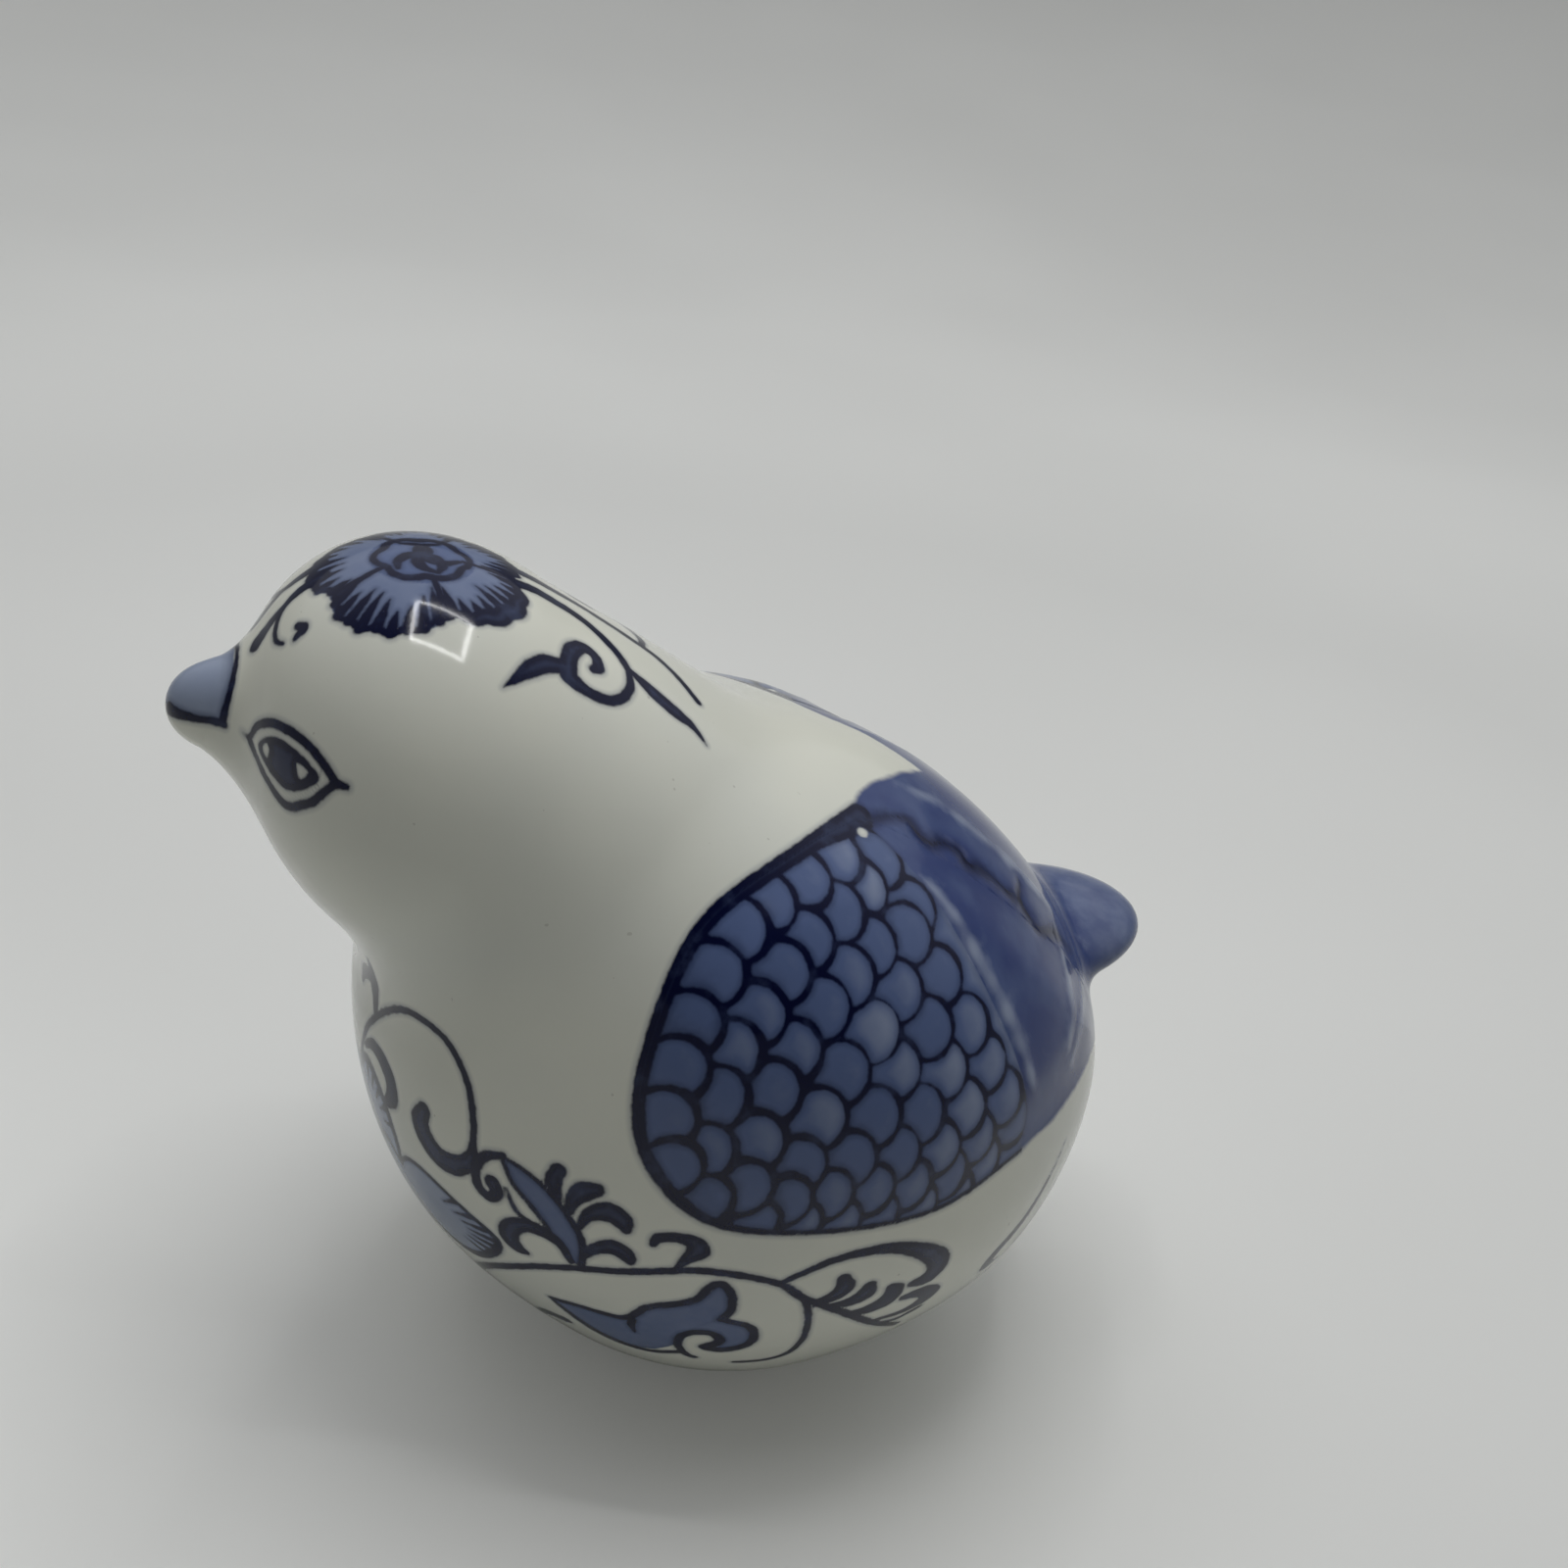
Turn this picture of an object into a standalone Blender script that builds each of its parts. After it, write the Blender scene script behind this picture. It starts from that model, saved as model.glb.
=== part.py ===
"""Porcelain bird figurine, built from the castings that a potter sticks together before firing.

The bird stands on the XY plane, faces -Y and has its left side at +X. Units are metres.
Belly, breast, rump, flanks and head are ellipsoids that melt into one smooth figure. Every
casting is cut from that figure, or seated on it, with a thin lute line between neighbours.
"""

import math

import bmesh
import bpy
import numpy as np
from mathutils import Euler, Matrix, Vector

# Belly, the egg that the other forms grow from; its bottom is cut flat for the foot
BELLY_BACK = 0.0046
BELLY_HALF_WIDTH = 0.0366
BELLY_HALF_LENGTH = 0.0357
BELLY_HALF_HEIGHT = 0.0369
BELLY_FLAT = 0.0034

# Breast, its centre inside the belly's front and above the belly's centre
BREAST_INSIDE = 0.0146
BREAST_RISE = 0.0108
BREAST_HALF_WIDTH = 0.0271
BREAST_HALF_LENGTH = 0.0190
BREAST_HALF_HEIGHT = 0.0266
BREAST_BLEND = 0.0129

# Rump, its centre inside the belly's back and above the belly's centre
RUMP_INSIDE = 0.0160
RUMP_RISE = 0.0022
RUMP_HALF_WIDTH = 0.0242
RUMP_HALF_LENGTH = 0.0197
RUMP_HALF_HEIGHT = 0.0160
RUMP_PITCH = math.radians(-11)
RUMP_BLEND = 0.0149

# Flanks, one on each side, which carry the folded wings; their sides stay inside the belly's
FLANK_INSIDE = 0.0004
FLANK_BEHIND = 0.0030
FLANK_RISE = 0.0046
FLANK_HALF_WIDTH = 0.0247
FLANK_HALF_LENGTH = 0.0358
FLANK_HALF_HEIGHT = 0.0251
FLANK_PITCH = math.radians(-46)
FLANK_YAW = math.radians(6)
FLANK_BLEND = 0.0043

# Head, its centre inside the belly's front and below the belly's top; its blend is tight at the
# throat and wide at the nape
HEAD_INSIDE = 0.0039
HEAD_BELOW = 0.0017
HEAD_HALF_WIDTH = 0.0224
HEAD_HALF_LENGTH = 0.0181
HEAD_HALF_HEIGHT = 0.0224
HEAD_PITCH = math.radians(34)
THROAT_BLEND = 0.0060
NAPE_BLEND = 0.0228
THROAT_AHEAD = 0.0128
NAPE_BEHIND = 0.0272

# Beak, a blunt cone on the line from its tip to the head's centre, flared into the face
BEAK_TIP_AHEAD = 0.0253
BEAK_TIP_RISE = 0.0068
BEAK_LENGTH = 0.0154
BEAK_ROOT_RADIUS = 0.0065
BEAK_TIP_RADIUS = 0.0038
BEAK_SLIMNESS_RATIO = 1.09
BEAK_BLEND = 0.0054
BEAK_CORE = 0.0096
BEAK_REACH = 0.0110
GAPE_DROP = 0.0006

# Tail, a flat tongue whose tip is placed from the rump's centre
TAIL_TIP_BEHIND = 0.0282
TAIL_TIP_RISE = 0.0106
TAIL_HALF_WIDTH = 0.0113
TAIL_HALF_LENGTH = 0.0170
TAIL_HALF_THICKNESS = 0.0047
TAIL_PITCH = math.radians(5)

# Walls, lute lines and the plane where the head meets the body
WALL = 0.0035
LUTE = 0.0003
NECK_AHEAD = 0.0091
NECK_DROP = 0.0193
NECK_TILT = math.radians(31)

# Foot: a turned plate that closes a round bore in the underside
FOOT_RADIUS = 0.0130
FOOT_RIM = 0.0030
FOOT_STAND = 0.0008
FOOT_RECESS = 0.0010
FOOT_THICKNESS = 0.0026
VENT_RADIUS = 0.0025

# Wings, pressed reliefs; their outlines are (behind, rise) from the belly's centre, as seen from
# the side and from above by the view angle
WING_THICKNESS = 0.0010
WING_VIEW = math.radians(35)
WING_FRONT = (
    (0.0055, 0.0208),
    (-0.0024, 0.0176),
    (-0.0128, 0.0113),
    (-0.0177, 0.0014),
    (-0.0182, -0.0073),
    (-0.0133, -0.0143),
    (-0.0054, -0.0169),
    (0.0092, -0.0167),
    (0.0204, -0.0124),
)
WING_DIVIDE = (
    (0.0200, -0.0061),
    (0.0150, 0.0047),
    (0.0101, 0.0143),
)
WING_TOP = (
    (0.0117, 0.0181),
    (0.0234, 0.0109),
    (0.0330, 0.0040),
    (0.0362, -0.0030),
)
WING_TIP = (
    (0.0307, -0.0065),
    (0.0249, -0.0099),
)

# Faces round and up each form, steps of a run between outline points, and how far a cutter reaches
BODY_FACES = (56, 34)
HEAD_FACES = (44, 28)
BEAK_FACES = (36, 24)
TAIL_FACES = (36, 28)
TURNED_STEPS = 48
OUTLINE_STEPS = 4
BLOCK_SIZE = 0.3

# How a ray finds the surface, and the lengths below which points are taken as one
RAY_LENGTH = 0.12
SCAN_STEPS = 160
HALVINGS = 30
MERGE = 0.00001
TINY = 1e-9

BELLY = np.array((0.0, BELLY_BACK, BELLY_HALF_HEIGHT - BELLY_FLAT))
BREAST = BELLY + (0.0, BREAST_INSIDE - BELLY_HALF_LENGTH, BREAST_RISE)
RUMP = BELLY + (0.0, BELLY_HALF_LENGTH - RUMP_INSIDE, RUMP_RISE)
FLANK = BELLY + (BELLY_HALF_WIDTH - FLANK_HALF_WIDTH - FLANK_INSIDE, FLANK_BEHIND, FLANK_RISE)
HEAD = BELLY + (0.0, HEAD_INSIDE - BELLY_HALF_LENGTH, BELLY_HALF_HEIGHT - HEAD_BELOW)
BEAK_TIP = HEAD + (0.0, -BEAK_TIP_AHEAD, BEAK_TIP_RISE)
BEAK_AXIS = (HEAD - BEAK_TIP) / np.linalg.norm(HEAD - BEAK_TIP)
BEAK = BEAK_TIP + BEAK_AXIS * BEAK_CORE
TAIL_TIP = RUMP + (0.0, TAIL_TIP_BEHIND, TAIL_TIP_RISE)
TAIL = TAIL_TIP - TAIL_HALF_LENGTH * np.array((0.0, math.cos(TAIL_PITCH), math.sin(TAIL_PITCH)))
NECK = HEAD + (0.0, -NECK_AHEAD, -NECK_DROP)


def clear_scene():
    """Remove every object that the file starts with."""
    for thing in list(bpy.data.objects):
        bpy.data.objects.remove(thing, do_unlink=True)


def new_collection(name):
    """Return a new collection linked to the scene."""
    collection = bpy.data.collections.new(name)
    bpy.context.scene.collection.children.link(collection)
    return collection


def glaze(name, colour, roughness):
    """Return a Principled material with a linear colour."""
    material = bpy.data.materials.new(name)
    material.use_nodes = True
    shader = material.node_tree.nodes["Principled BSDF"]
    shader.inputs["Base Color"].default_value = (*colour, 1.0)
    shader.inputs["Roughness"].default_value = roughness
    shader.inputs["Metallic"].default_value = 0.0
    return material


def turned(points, pitch):
    """Points in the axes of a form whose +Y end is raised by the pitch."""
    cosine = math.cos(pitch)
    sine = math.sin(pitch)
    along = cosine * points[:, 1] + sine * points[:, 2]
    across = -sine * points[:, 1] + cosine * points[:, 2]
    return np.stack([points[:, 0], along, across], axis=1)


def ellipsoid(points, radii):
    """Near enough the signed distance from points to an ellipsoid at the origin."""
    radii = np.array(radii)
    near = np.linalg.norm(points / radii, axis=1)
    slope = np.linalg.norm(points / radii**2, axis=1) + TINY
    return near * (near - 1.0) / slope


def melt(first, second, blend):
    """Smooth union of two signed distances, with a fillet about as wide as the blend."""
    share = np.clip(0.5 + 0.5 * (second - first) / blend, 0.0, 1.0)
    return second * (1.0 - share) + first * share - blend * share * (1.0 - share)


def figure(points):
    """Signed distance to the bird without its beak and tail."""
    belly = ellipsoid(points - BELLY, (BELLY_HALF_WIDTH, BELLY_HALF_LENGTH, BELLY_HALF_HEIGHT))
    breast = ellipsoid(points - BREAST, (BREAST_HALF_WIDTH, BREAST_HALF_LENGTH, BREAST_HALF_HEIGHT))
    rump = turned(points - RUMP, RUMP_PITCH)
    rump = ellipsoid(rump, (RUMP_HALF_WIDTH, RUMP_HALF_LENGTH, RUMP_HALF_HEIGHT))
    head = turned(points - HEAD, HEAD_PITCH)
    head = ellipsoid(head, (HEAD_HALF_WIDTH, HEAD_HALF_LENGTH, HEAD_HALF_HEIGHT))
    aside = np.stack([np.abs(points[:, 0]), points[:, 1], points[:, 2]], axis=1) - FLANK
    swung = aside.copy()
    swung[:, 0] = math.cos(FLANK_YAW) * aside[:, 0] + math.sin(FLANK_YAW) * aside[:, 1]
    swung[:, 1] = -math.sin(FLANK_YAW) * aside[:, 0] + math.cos(FLANK_YAW) * aside[:, 1]
    flank = turned(swung, FLANK_PITCH)
    flank = ellipsoid(flank, (FLANK_HALF_WIDTH, FLANK_HALF_LENGTH, FLANK_HALF_HEIGHT))

    span = THROAT_AHEAD + NAPE_BEHIND
    way = np.clip((points[:, 1] - HEAD[1] + THROAT_AHEAD) / span, 0.0, 1.0)
    way = way * way * (3.0 - 2.0 * way)
    neck_blend = THROAT_BLEND + (NAPE_BLEND - THROAT_BLEND) * way
    torso = melt(melt(belly, breast, BREAST_BLEND), rump, RUMP_BLEND)
    return melt(melt(torso, head, neck_blend), flank, FLANK_BLEND)


def beak(points):
    """Signed distance to the blunt cone of the beak, a little narrower than it is tall."""
    tip = BEAK_TIP + BEAK_AXIS * BEAK_TIP_RADIUS
    length = BEAK_LENGTH - BEAK_TIP_RADIUS
    local = (points - tip) * (BEAK_SLIMNESS_RATIO, 1.0, 1.0)
    along = np.clip(local @ BEAK_AXIS, 0.0, length)
    radius = BEAK_TIP_RADIUS + (BEAK_ROOT_RADIUS - BEAK_TIP_RADIUS) * along / length
    return np.linalg.norm(local - along[:, None] * BEAK_AXIS, axis=1) - radius


def face(points):
    """Signed distance to the beak, flared into the part of the head within its reach."""
    ball = np.linalg.norm(points - BEAK, axis=1) - BEAK_REACH
    return np.maximum(melt(figure(points), beak(points), BEAK_BLEND), ball)


def add_mesh(name, collection, form):
    """Make an object of a bmesh and free it."""
    mesh = bpy.data.meshes.new(name)
    form.to_mesh(mesh)
    form.free()
    mesh.shade_smooth()
    thing = bpy.data.objects.new(name, mesh)
    collection.objects.link(thing)
    return thing


def cast(name, collection, centre, field, faces, offset=0.0):
    """A sphere whose points are moved along their rays to where the field reaches the offset."""
    form = bmesh.new()
    bmesh.ops.create_uvsphere(form, u_segments=faces[0], v_segments=faces[1], radius=1.0)
    rays = np.array([vertex.co for vertex in form.verts])
    rays = rays / np.linalg.norm(rays, axis=1, keepdims=True)
    scan = np.linspace(0.0, RAY_LENGTH, SCAN_STEPS)
    spread = centre + rays[:, None, :] * scan[None, :, None]
    outside = field(spread.reshape(-1, 3)).reshape(len(rays), SCAN_STEPS) > offset
    first = np.argmax(outside, axis=1)
    far = scan[first]
    near = scan[first - 1]
    for _ in range(HALVINGS):
        middle = 0.5 * (near + far)
        beyond = field(centre + rays * middle[:, None]) > offset
        far = np.where(beyond, middle, far)
        near = np.where(beyond, near, middle)
    for vertex, place in zip(form.verts, centre + rays * far[:, None]):
        vertex.co = place
    return add_mesh(name, collection, form)


def block(name, collection, point, tilt, side):
    """A large cube with one face through the point, on the +1 or -1 side of the tilted plane."""
    turn = Euler((tilt, 0.0, 0.0)).to_matrix().to_4x4()
    push = Matrix.Translation((0.0, 0.0, side * BLOCK_SIZE / 2))
    form = bmesh.new()
    bmesh.ops.create_cube(form, size=BLOCK_SIZE, matrix=Matrix.Translation(point) @ turn @ push)
    return add_mesh(name, collection, form)


def above(point, tilt, distance):
    """The point moved along the normal of a plane tilted about X."""
    return Vector(point) + Vector((0.0, -math.sin(tilt), math.cos(tilt))) * distance


def cut(thing, cutter, operation="DIFFERENCE"):
    """Add an exact Boolean to a thing and hide the cutter."""
    modifier = thing.modifiers.new(f"{operation.lower()} {cutter.name}", "BOOLEAN")
    modifier.operation = operation
    modifier.solver = "EXACT"
    modifier.object = cutter
    cutter.hide_render = True
    cutter.display_type = "WIRE"


def hollow(thing):
    """Give a closed casting its wall."""
    wall = thing.modifiers.new("wall", "SOLIDIFY")
    wall.thickness = WALL
    wall.offset = -1.0


def smooth_run(points):
    """A Catmull-Rom curve through the points, which keeps both ends."""
    points = np.array(points)
    padded = np.vstack([2 * points[0] - points[1], points, 2 * points[-1] - points[-2]])
    share = np.arange(OUTLINE_STEPS)[:, None] / OUTLINE_STEPS
    runs = []
    for before, start, end, after in zip(padded, padded[1:], padded[2:], padded[3:]):
        line = 2 * start + (end - before) * share
        bend = (2 * before - 5 * start + 4 * end - after) * share**2
        twist = (3 * start - before - 3 * end + after) * share**3
        runs.append(0.5 * (line + bend + twist))
    return np.vstack([*runs, points[-1:]])


def beside(run, distance):
    """The run moved to the right of its own direction."""
    way = np.gradient(run, axis=0)
    way = way / np.linalg.norm(way, axis=1, keepdims=True)
    return run + distance * np.stack([way[:, 1], -way[:, 0]], axis=1)


def outline_prism(name, collection, outline, side):
    """An outline of (behind, rise) points, carried outward from the belly on the left or right."""
    curve = bpy.data.curves.new(name, "CURVE")
    curve.dimensions = "2D"
    curve.fill_mode = "BOTH"
    curve.extrude = BLOCK_SIZE / 4
    spline = curve.splines.new("POLY")
    spline.points.add(len(outline) - 1)
    spline.use_cyclic_u = True
    for place, (behind, rise) in zip(spline.points, outline):
        place.co = (behind, rise, 0.0, 1.0)
    flat = bpy.data.objects.new(f"{name}_outline", curve)
    collection.objects.link(flat)
    bpy.context.view_layer.update()
    graph = bpy.context.evaluated_depsgraph_get()
    form = bmesh.new()
    form.from_mesh(bpy.data.meshes.new_from_object(flat.evaluated_get(graph)))
    bpy.data.objects.remove(flat, do_unlink=True)
    bmesh.ops.remove_doubles(form, verts=form.verts, dist=MERGE)
    upright = Matrix(((0, 0, 1, 0), (1, 0, 0, 0), (0, 1, 0, 0), (0, 0, 0, 1)))
    outward = Matrix.Translation((side * curve.extrude, 0.0, 0.0))
    view = Euler((0.0, -side * WING_VIEW, 0.0)).to_matrix().to_4x4()
    form.transform(Matrix.Translation(BELLY) @ view @ outward @ upright)
    bmesh.ops.recalc_face_normals(form, faces=form.faces)
    return add_mesh(name, collection, form)


def build_body(parts, cutters, material):
    """Breast, belly and back: a shell open at the neck and at the foot."""
    body = cast("body_shell", parts, BELLY, figure, BODY_FACES)
    hollow(body)
    cut(body, block("neck_above", cutters, above(NECK, NECK_TILT, -LUTE / 2), NECK_TILT, 1))
    cut(body, block("table", cutters, (0.0, 0.0, FOOT_STAND), 0.0, -1))
    bore = bmesh.new()
    bmesh.ops.create_cone(
        bore,
        cap_ends=True,
        segments=TURNED_STEPS,
        radius1=FOOT_RADIUS + LUTE,
        radius2=FOOT_RADIUS + LUTE,
        depth=2 * BELLY[2],
        matrix=Matrix.Translation((0.0, BELLY_BACK, 0.0)),
    )
    cut(body, add_mesh("foot_bore", cutters, bore))
    body.data.materials.append(material)


def build_head(parts, cutters, material):
    """Head and nape: a shell open at the neck."""
    head = cast("head_shell", parts, HEAD, figure, HEAD_FACES)
    hollow(head)
    cut(head, block("neck_below", cutters, above(NECK, NECK_TILT, LUTE / 2), NECK_TILT, -1))
    head.data.materials.append(material)


def build_beak(parts, cutters, upper_material, lower_material):
    """Upper and lower bill, parted at the gape and seated on the head."""
    seat = cast("beak_seat", cutters, HEAD, figure, HEAD_FACES, LUTE)
    gape = BEAK_TIP - (0.0, 0.0, GAPE_DROP)
    for name, side, material in (("upper_bill", 1, upper_material), ("lower_bill", -1, lower_material)):
        bill = cast(name, parts, BEAK, face, BEAK_FACES)
        cut(bill, block(f"{name}_gape", cutters, above(gape, 0.0, side * LUTE / 2), 0.0, -side))
        cut(bill, seat)
        bill.data.materials.append(material)


def build_tail(parts, seat, material):
    """The tail's flat tongue, seated on the rump."""
    turn = Euler((TAIL_PITCH, 0.0, 0.0)).to_matrix().to_4x4()
    size = Matrix.Diagonal((TAIL_HALF_WIDTH, TAIL_HALF_LENGTH, TAIL_HALF_THICKNESS, 1.0))
    poles_along = Euler((math.radians(90), 0.0, 0.0)).to_matrix().to_4x4()
    form = bmesh.new()
    bmesh.ops.create_uvsphere(
        form,
        u_segments=TAIL_FACES[0],
        v_segments=TAIL_FACES[1],
        radius=1.0,
        matrix=Matrix.Translation(TAIL) @ turn @ size @ poles_along,
    )
    tail = add_mesh("tail", parts, form)
    cut(tail, seat)
    tail.data.materials.append(material)


def build_wings(parts, cutters, seat, scale_material, feather_material):
    """Scaled shoulder and feathered end of each wing, pressed thin and seated on the flank."""
    skin = cast("wing_skin", cutters, BELLY, figure, BODY_FACES, LUTE + WING_THICKNESS)
    divide = smooth_run((WING_FRONT[-1], *WING_DIVIDE, WING_FRONT[0]))
    shoulder = np.vstack([smooth_run(WING_FRONT)[:-1], divide[:-1]])
    rear = smooth_run((WING_FRONT[0], *WING_TOP, *WING_TIP, WING_FRONT[-1]))
    feathers = np.vstack([rear[1:-1], beside(divide, LUTE)])
    for side_name, side in (("left", 1), ("right", -1)):
        for region, outline, material in (
            ("scales", shoulder, scale_material),
            ("feathers", feathers, feather_material),
        ):
            wing = outline_prism(f"{side_name}_wing_{region}", parts, outline, side)
            cut(wing, skin, "INTERSECT")
            cut(wing, seat)
            wing.data.materials.append(material)


def build_base(parts, material):
    """The turned plate of the foot, with its rim, recess and vent."""
    rim = FOOT_RADIUS - FOOT_RIM
    profile = (
        (FOOT_RADIUS, FOOT_THICKNESS),
        (FOOT_RADIUS, 0.0),
        (rim, 0.0),
        (rim, FOOT_RECESS),
        (VENT_RADIUS, FOOT_RECESS),
        (VENT_RADIUS, FOOT_THICKNESS),
    )
    form = bmesh.new()
    ring = [form.verts.new((radius, 0.0, height)) for radius, height in profile]
    for start, end in zip(ring, ring[1:] + ring[:1]):
        form.edges.new((start, end))
    base = add_mesh("base_plate", parts, form)
    base.location = (0.0, BELLY_BACK, 0.0)
    turning = base.modifiers.new("turning", "SCREW")
    turning.steps = TURNED_STEPS
    turning.render_steps = TURNED_STEPS
    turning.use_merge_vertices = True
    turning.merge_threshold = MERGE
    base.data.materials.append(material)


def main():
    """Build every casting of the bird."""
    clear_scene()
    parts = new_collection("porcelain_bird")
    cutters = new_collection("cutters")
    white = glaze("white_glaze", (0.78, 0.78, 0.74), 0.08)
    scale_blue = glaze("scale_glaze", (0.06, 0.10, 0.27), 0.08)
    feather_blue = glaze("feather_glaze", (0.08, 0.11, 0.32), 0.08)
    slate_blue = glaze("slate_glaze", (0.10, 0.14, 0.26), 0.08)
    biscuit = glaze("bare_biscuit", (0.72, 0.68, 0.60), 0.75)

    build_body(parts, cutters, white)
    build_head(parts, cutters, white)
    build_beak(parts, cutters, slate_blue, white)
    seat = cast("flank_seat", cutters, BELLY, figure, BODY_FACES, LUTE)
    build_tail(parts, seat, slate_blue)
    build_wings(parts, cutters, seat, scale_blue, feather_blue)
    build_base(parts, biscuit)


main()
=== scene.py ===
"""Looks of a blue-and-white porcelain bird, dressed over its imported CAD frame.

Sizes are in millimetres and turn into metres where a mesh is made. The bird stands on z = 0,
faces -Y and has its left side at +X. Every surface is a level of one smooth figure, found along
rays, so neighbouring pieces share their skin, their normals and their painting. The painting is
kept as distances to brush strokes on the vertices, and the glaze turns those into ink.
"""

from __future__ import annotations

import logging
import math
from dataclasses import dataclass, field
from enum import Enum
from typing import Callable

import bpy
import numpy as np
from mathutils import Matrix, Vector

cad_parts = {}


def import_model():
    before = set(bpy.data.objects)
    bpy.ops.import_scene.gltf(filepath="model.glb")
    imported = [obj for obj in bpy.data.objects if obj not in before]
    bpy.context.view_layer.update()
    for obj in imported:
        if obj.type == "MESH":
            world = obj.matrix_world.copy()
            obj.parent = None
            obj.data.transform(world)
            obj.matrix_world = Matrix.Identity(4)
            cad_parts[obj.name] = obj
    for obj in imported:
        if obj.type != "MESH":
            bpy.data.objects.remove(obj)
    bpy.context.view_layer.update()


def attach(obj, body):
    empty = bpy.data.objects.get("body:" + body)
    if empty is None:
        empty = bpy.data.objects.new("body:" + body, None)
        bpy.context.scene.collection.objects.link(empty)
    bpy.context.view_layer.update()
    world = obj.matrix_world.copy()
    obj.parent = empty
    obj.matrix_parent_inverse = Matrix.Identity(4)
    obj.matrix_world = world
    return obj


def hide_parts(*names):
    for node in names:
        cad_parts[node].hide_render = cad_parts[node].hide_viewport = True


MM = 0.001
FAR = 2.5
LOG = logging.getLogger("porcelain_bird")

Array = np.ndarray
Place = tuple[float, float, float]
Spot = tuple[float, float]
Field = Callable[[Array], Array]


def unit(vectors: Array) -> Array:
    """Vectors of length one along the last axis."""
    return vectors / np.linalg.norm(vectors, axis=-1, keepdims=True)


def ease(values: Array, start: float, end: float) -> Array:
    """Smooth step from 0 at the start to 1 at the end."""
    share = np.clip((values - start) / (end - start), 0.0, 1.0)
    return share * share * (3.0 - 2.0 * share)


def melt(first: Array, second: Array, blend: float | Array) -> Array:
    """Smooth union of two distances, with a fillet about as wide as the blend.

    Args:
        first: Signed distances to one form.
        second: Signed distances to the other form.
        blend: Width of the fillet, in mm.

    Returns:
        The lesser distance, less the blend times the product of both shares.
    """
    share = np.clip(0.5 + 0.5 * (second - first) / blend, 0.0, 1.0)
    return second * (1.0 - share) + first * share - blend * share * (1.0 - share)


def flow(points: Array, steps: int, closed: bool = False) -> Array:
    """Catmull-Rom curve through points, evenly stepped between each pair.

    Args:
        points: Points in rows, in two or three dimensions.
        steps: Samples between two points.
        closed: Whether the curve comes back to its start.

    Returns:
        The samples; an open curve keeps both ends.
    """
    points = np.asarray(points, float)
    if closed:
        padded = np.vstack([points[-1:], points, points[:2]])
    else:
        padded = np.vstack([2 * points[0] - points[1], points, 2 * points[-1] - points[-2]])
    share = (np.arange(steps) / steps)[None, :, None]
    before, start, end, after = (padded[i : len(padded) - 3 + i, None, :] for i in range(4))
    line = 2 * start + (end - before) * share
    bend = (2 * before - 5 * start + 4 * end - after) * share**2
    twist = (3 * start - before - 3 * end + after) * share**3
    run = (0.5 * (line + bend + twist)).reshape(-1, points.shape[1])
    return run if closed else np.vstack([run, points[-1:]])


def evenly(run: Array, count: int) -> Array:
    """The run resampled at equal arc lengths, both ends kept."""
    lengths = np.concatenate([[0.0], np.cumsum(np.linalg.norm(np.diff(run, axis=0), axis=1))])
    wanted = np.linspace(0.0, lengths[-1], count)
    return np.stack([np.interp(wanted, lengths, axis) for axis in run.T], axis=1)


def off_outline(spots: Array, outline: Array) -> Array:
    """Signed distance from flat spots to a closed outline, negative inside.

    Args:
        spots: Points in two dimensions.
        outline: Corners of the closed outline.

    Returns:
        Distance to the nearest side, with the sign of an even-odd crossing count.
    """
    best = np.full(len(spots), np.inf)
    inside = np.zeros(len(spots), bool)
    for start, end in zip(outline, np.roll(outline, -1, axis=0)):
        side = end - start
        away = spots - start
        share = np.clip(away @ side / max(side @ side, 1e-12), 0.0, 1.0)
        best = np.minimum(best, np.linalg.norm(away - share[:, None] * side, axis=1))
        spans = (start[1] > spots[:, 1]) != (end[1] > spots[:, 1])
        rise = side[1] if side[1] else 1e-12
        inside ^= spans & (spots[:, 0] < start[0] + side[0] * (spots[:, 1] - start[1]) / rise)
    return np.where(inside, -best, best)


def off_stroke(points: Array, run: Array, half: Array, far: float = FAR) -> Array:
    """Distance from points to the edge of a brush stroke, negative inside it.

    The stroke is a chain of cones: each piece of its run, swollen by a half width that changes
    evenly from one end to the other.

    Args:
        points: Points in two or three dimensions.
        run: Points along the stroke.
        half: Half width at each of them.
        far: Distance beyond which the exact value doesn't matter.

    Returns:
        Distances, at most the far value.
    """
    gaps = np.full(len(points), far)
    inside = (points > run.min(axis=0) - far) & (points < run.max(axis=0) + far)
    near = np.flatnonzero(inside.all(axis=1))
    at = points[near]
    best = gaps[near]
    for start, end, thick, thin in zip(run[:-1], run[1:], half[:-1], half[1:]):
        side = end - start
        share = np.clip((at - start) @ side / max(side @ side, 1e-12), 0.0, 1.0)
        swell = thick + (thin - thick) * share
        best = np.minimum(best, np.linalg.norm(at - start - share[:, None] * side, axis=1) - swell)
    gaps[near] = best
    return gaps


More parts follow.
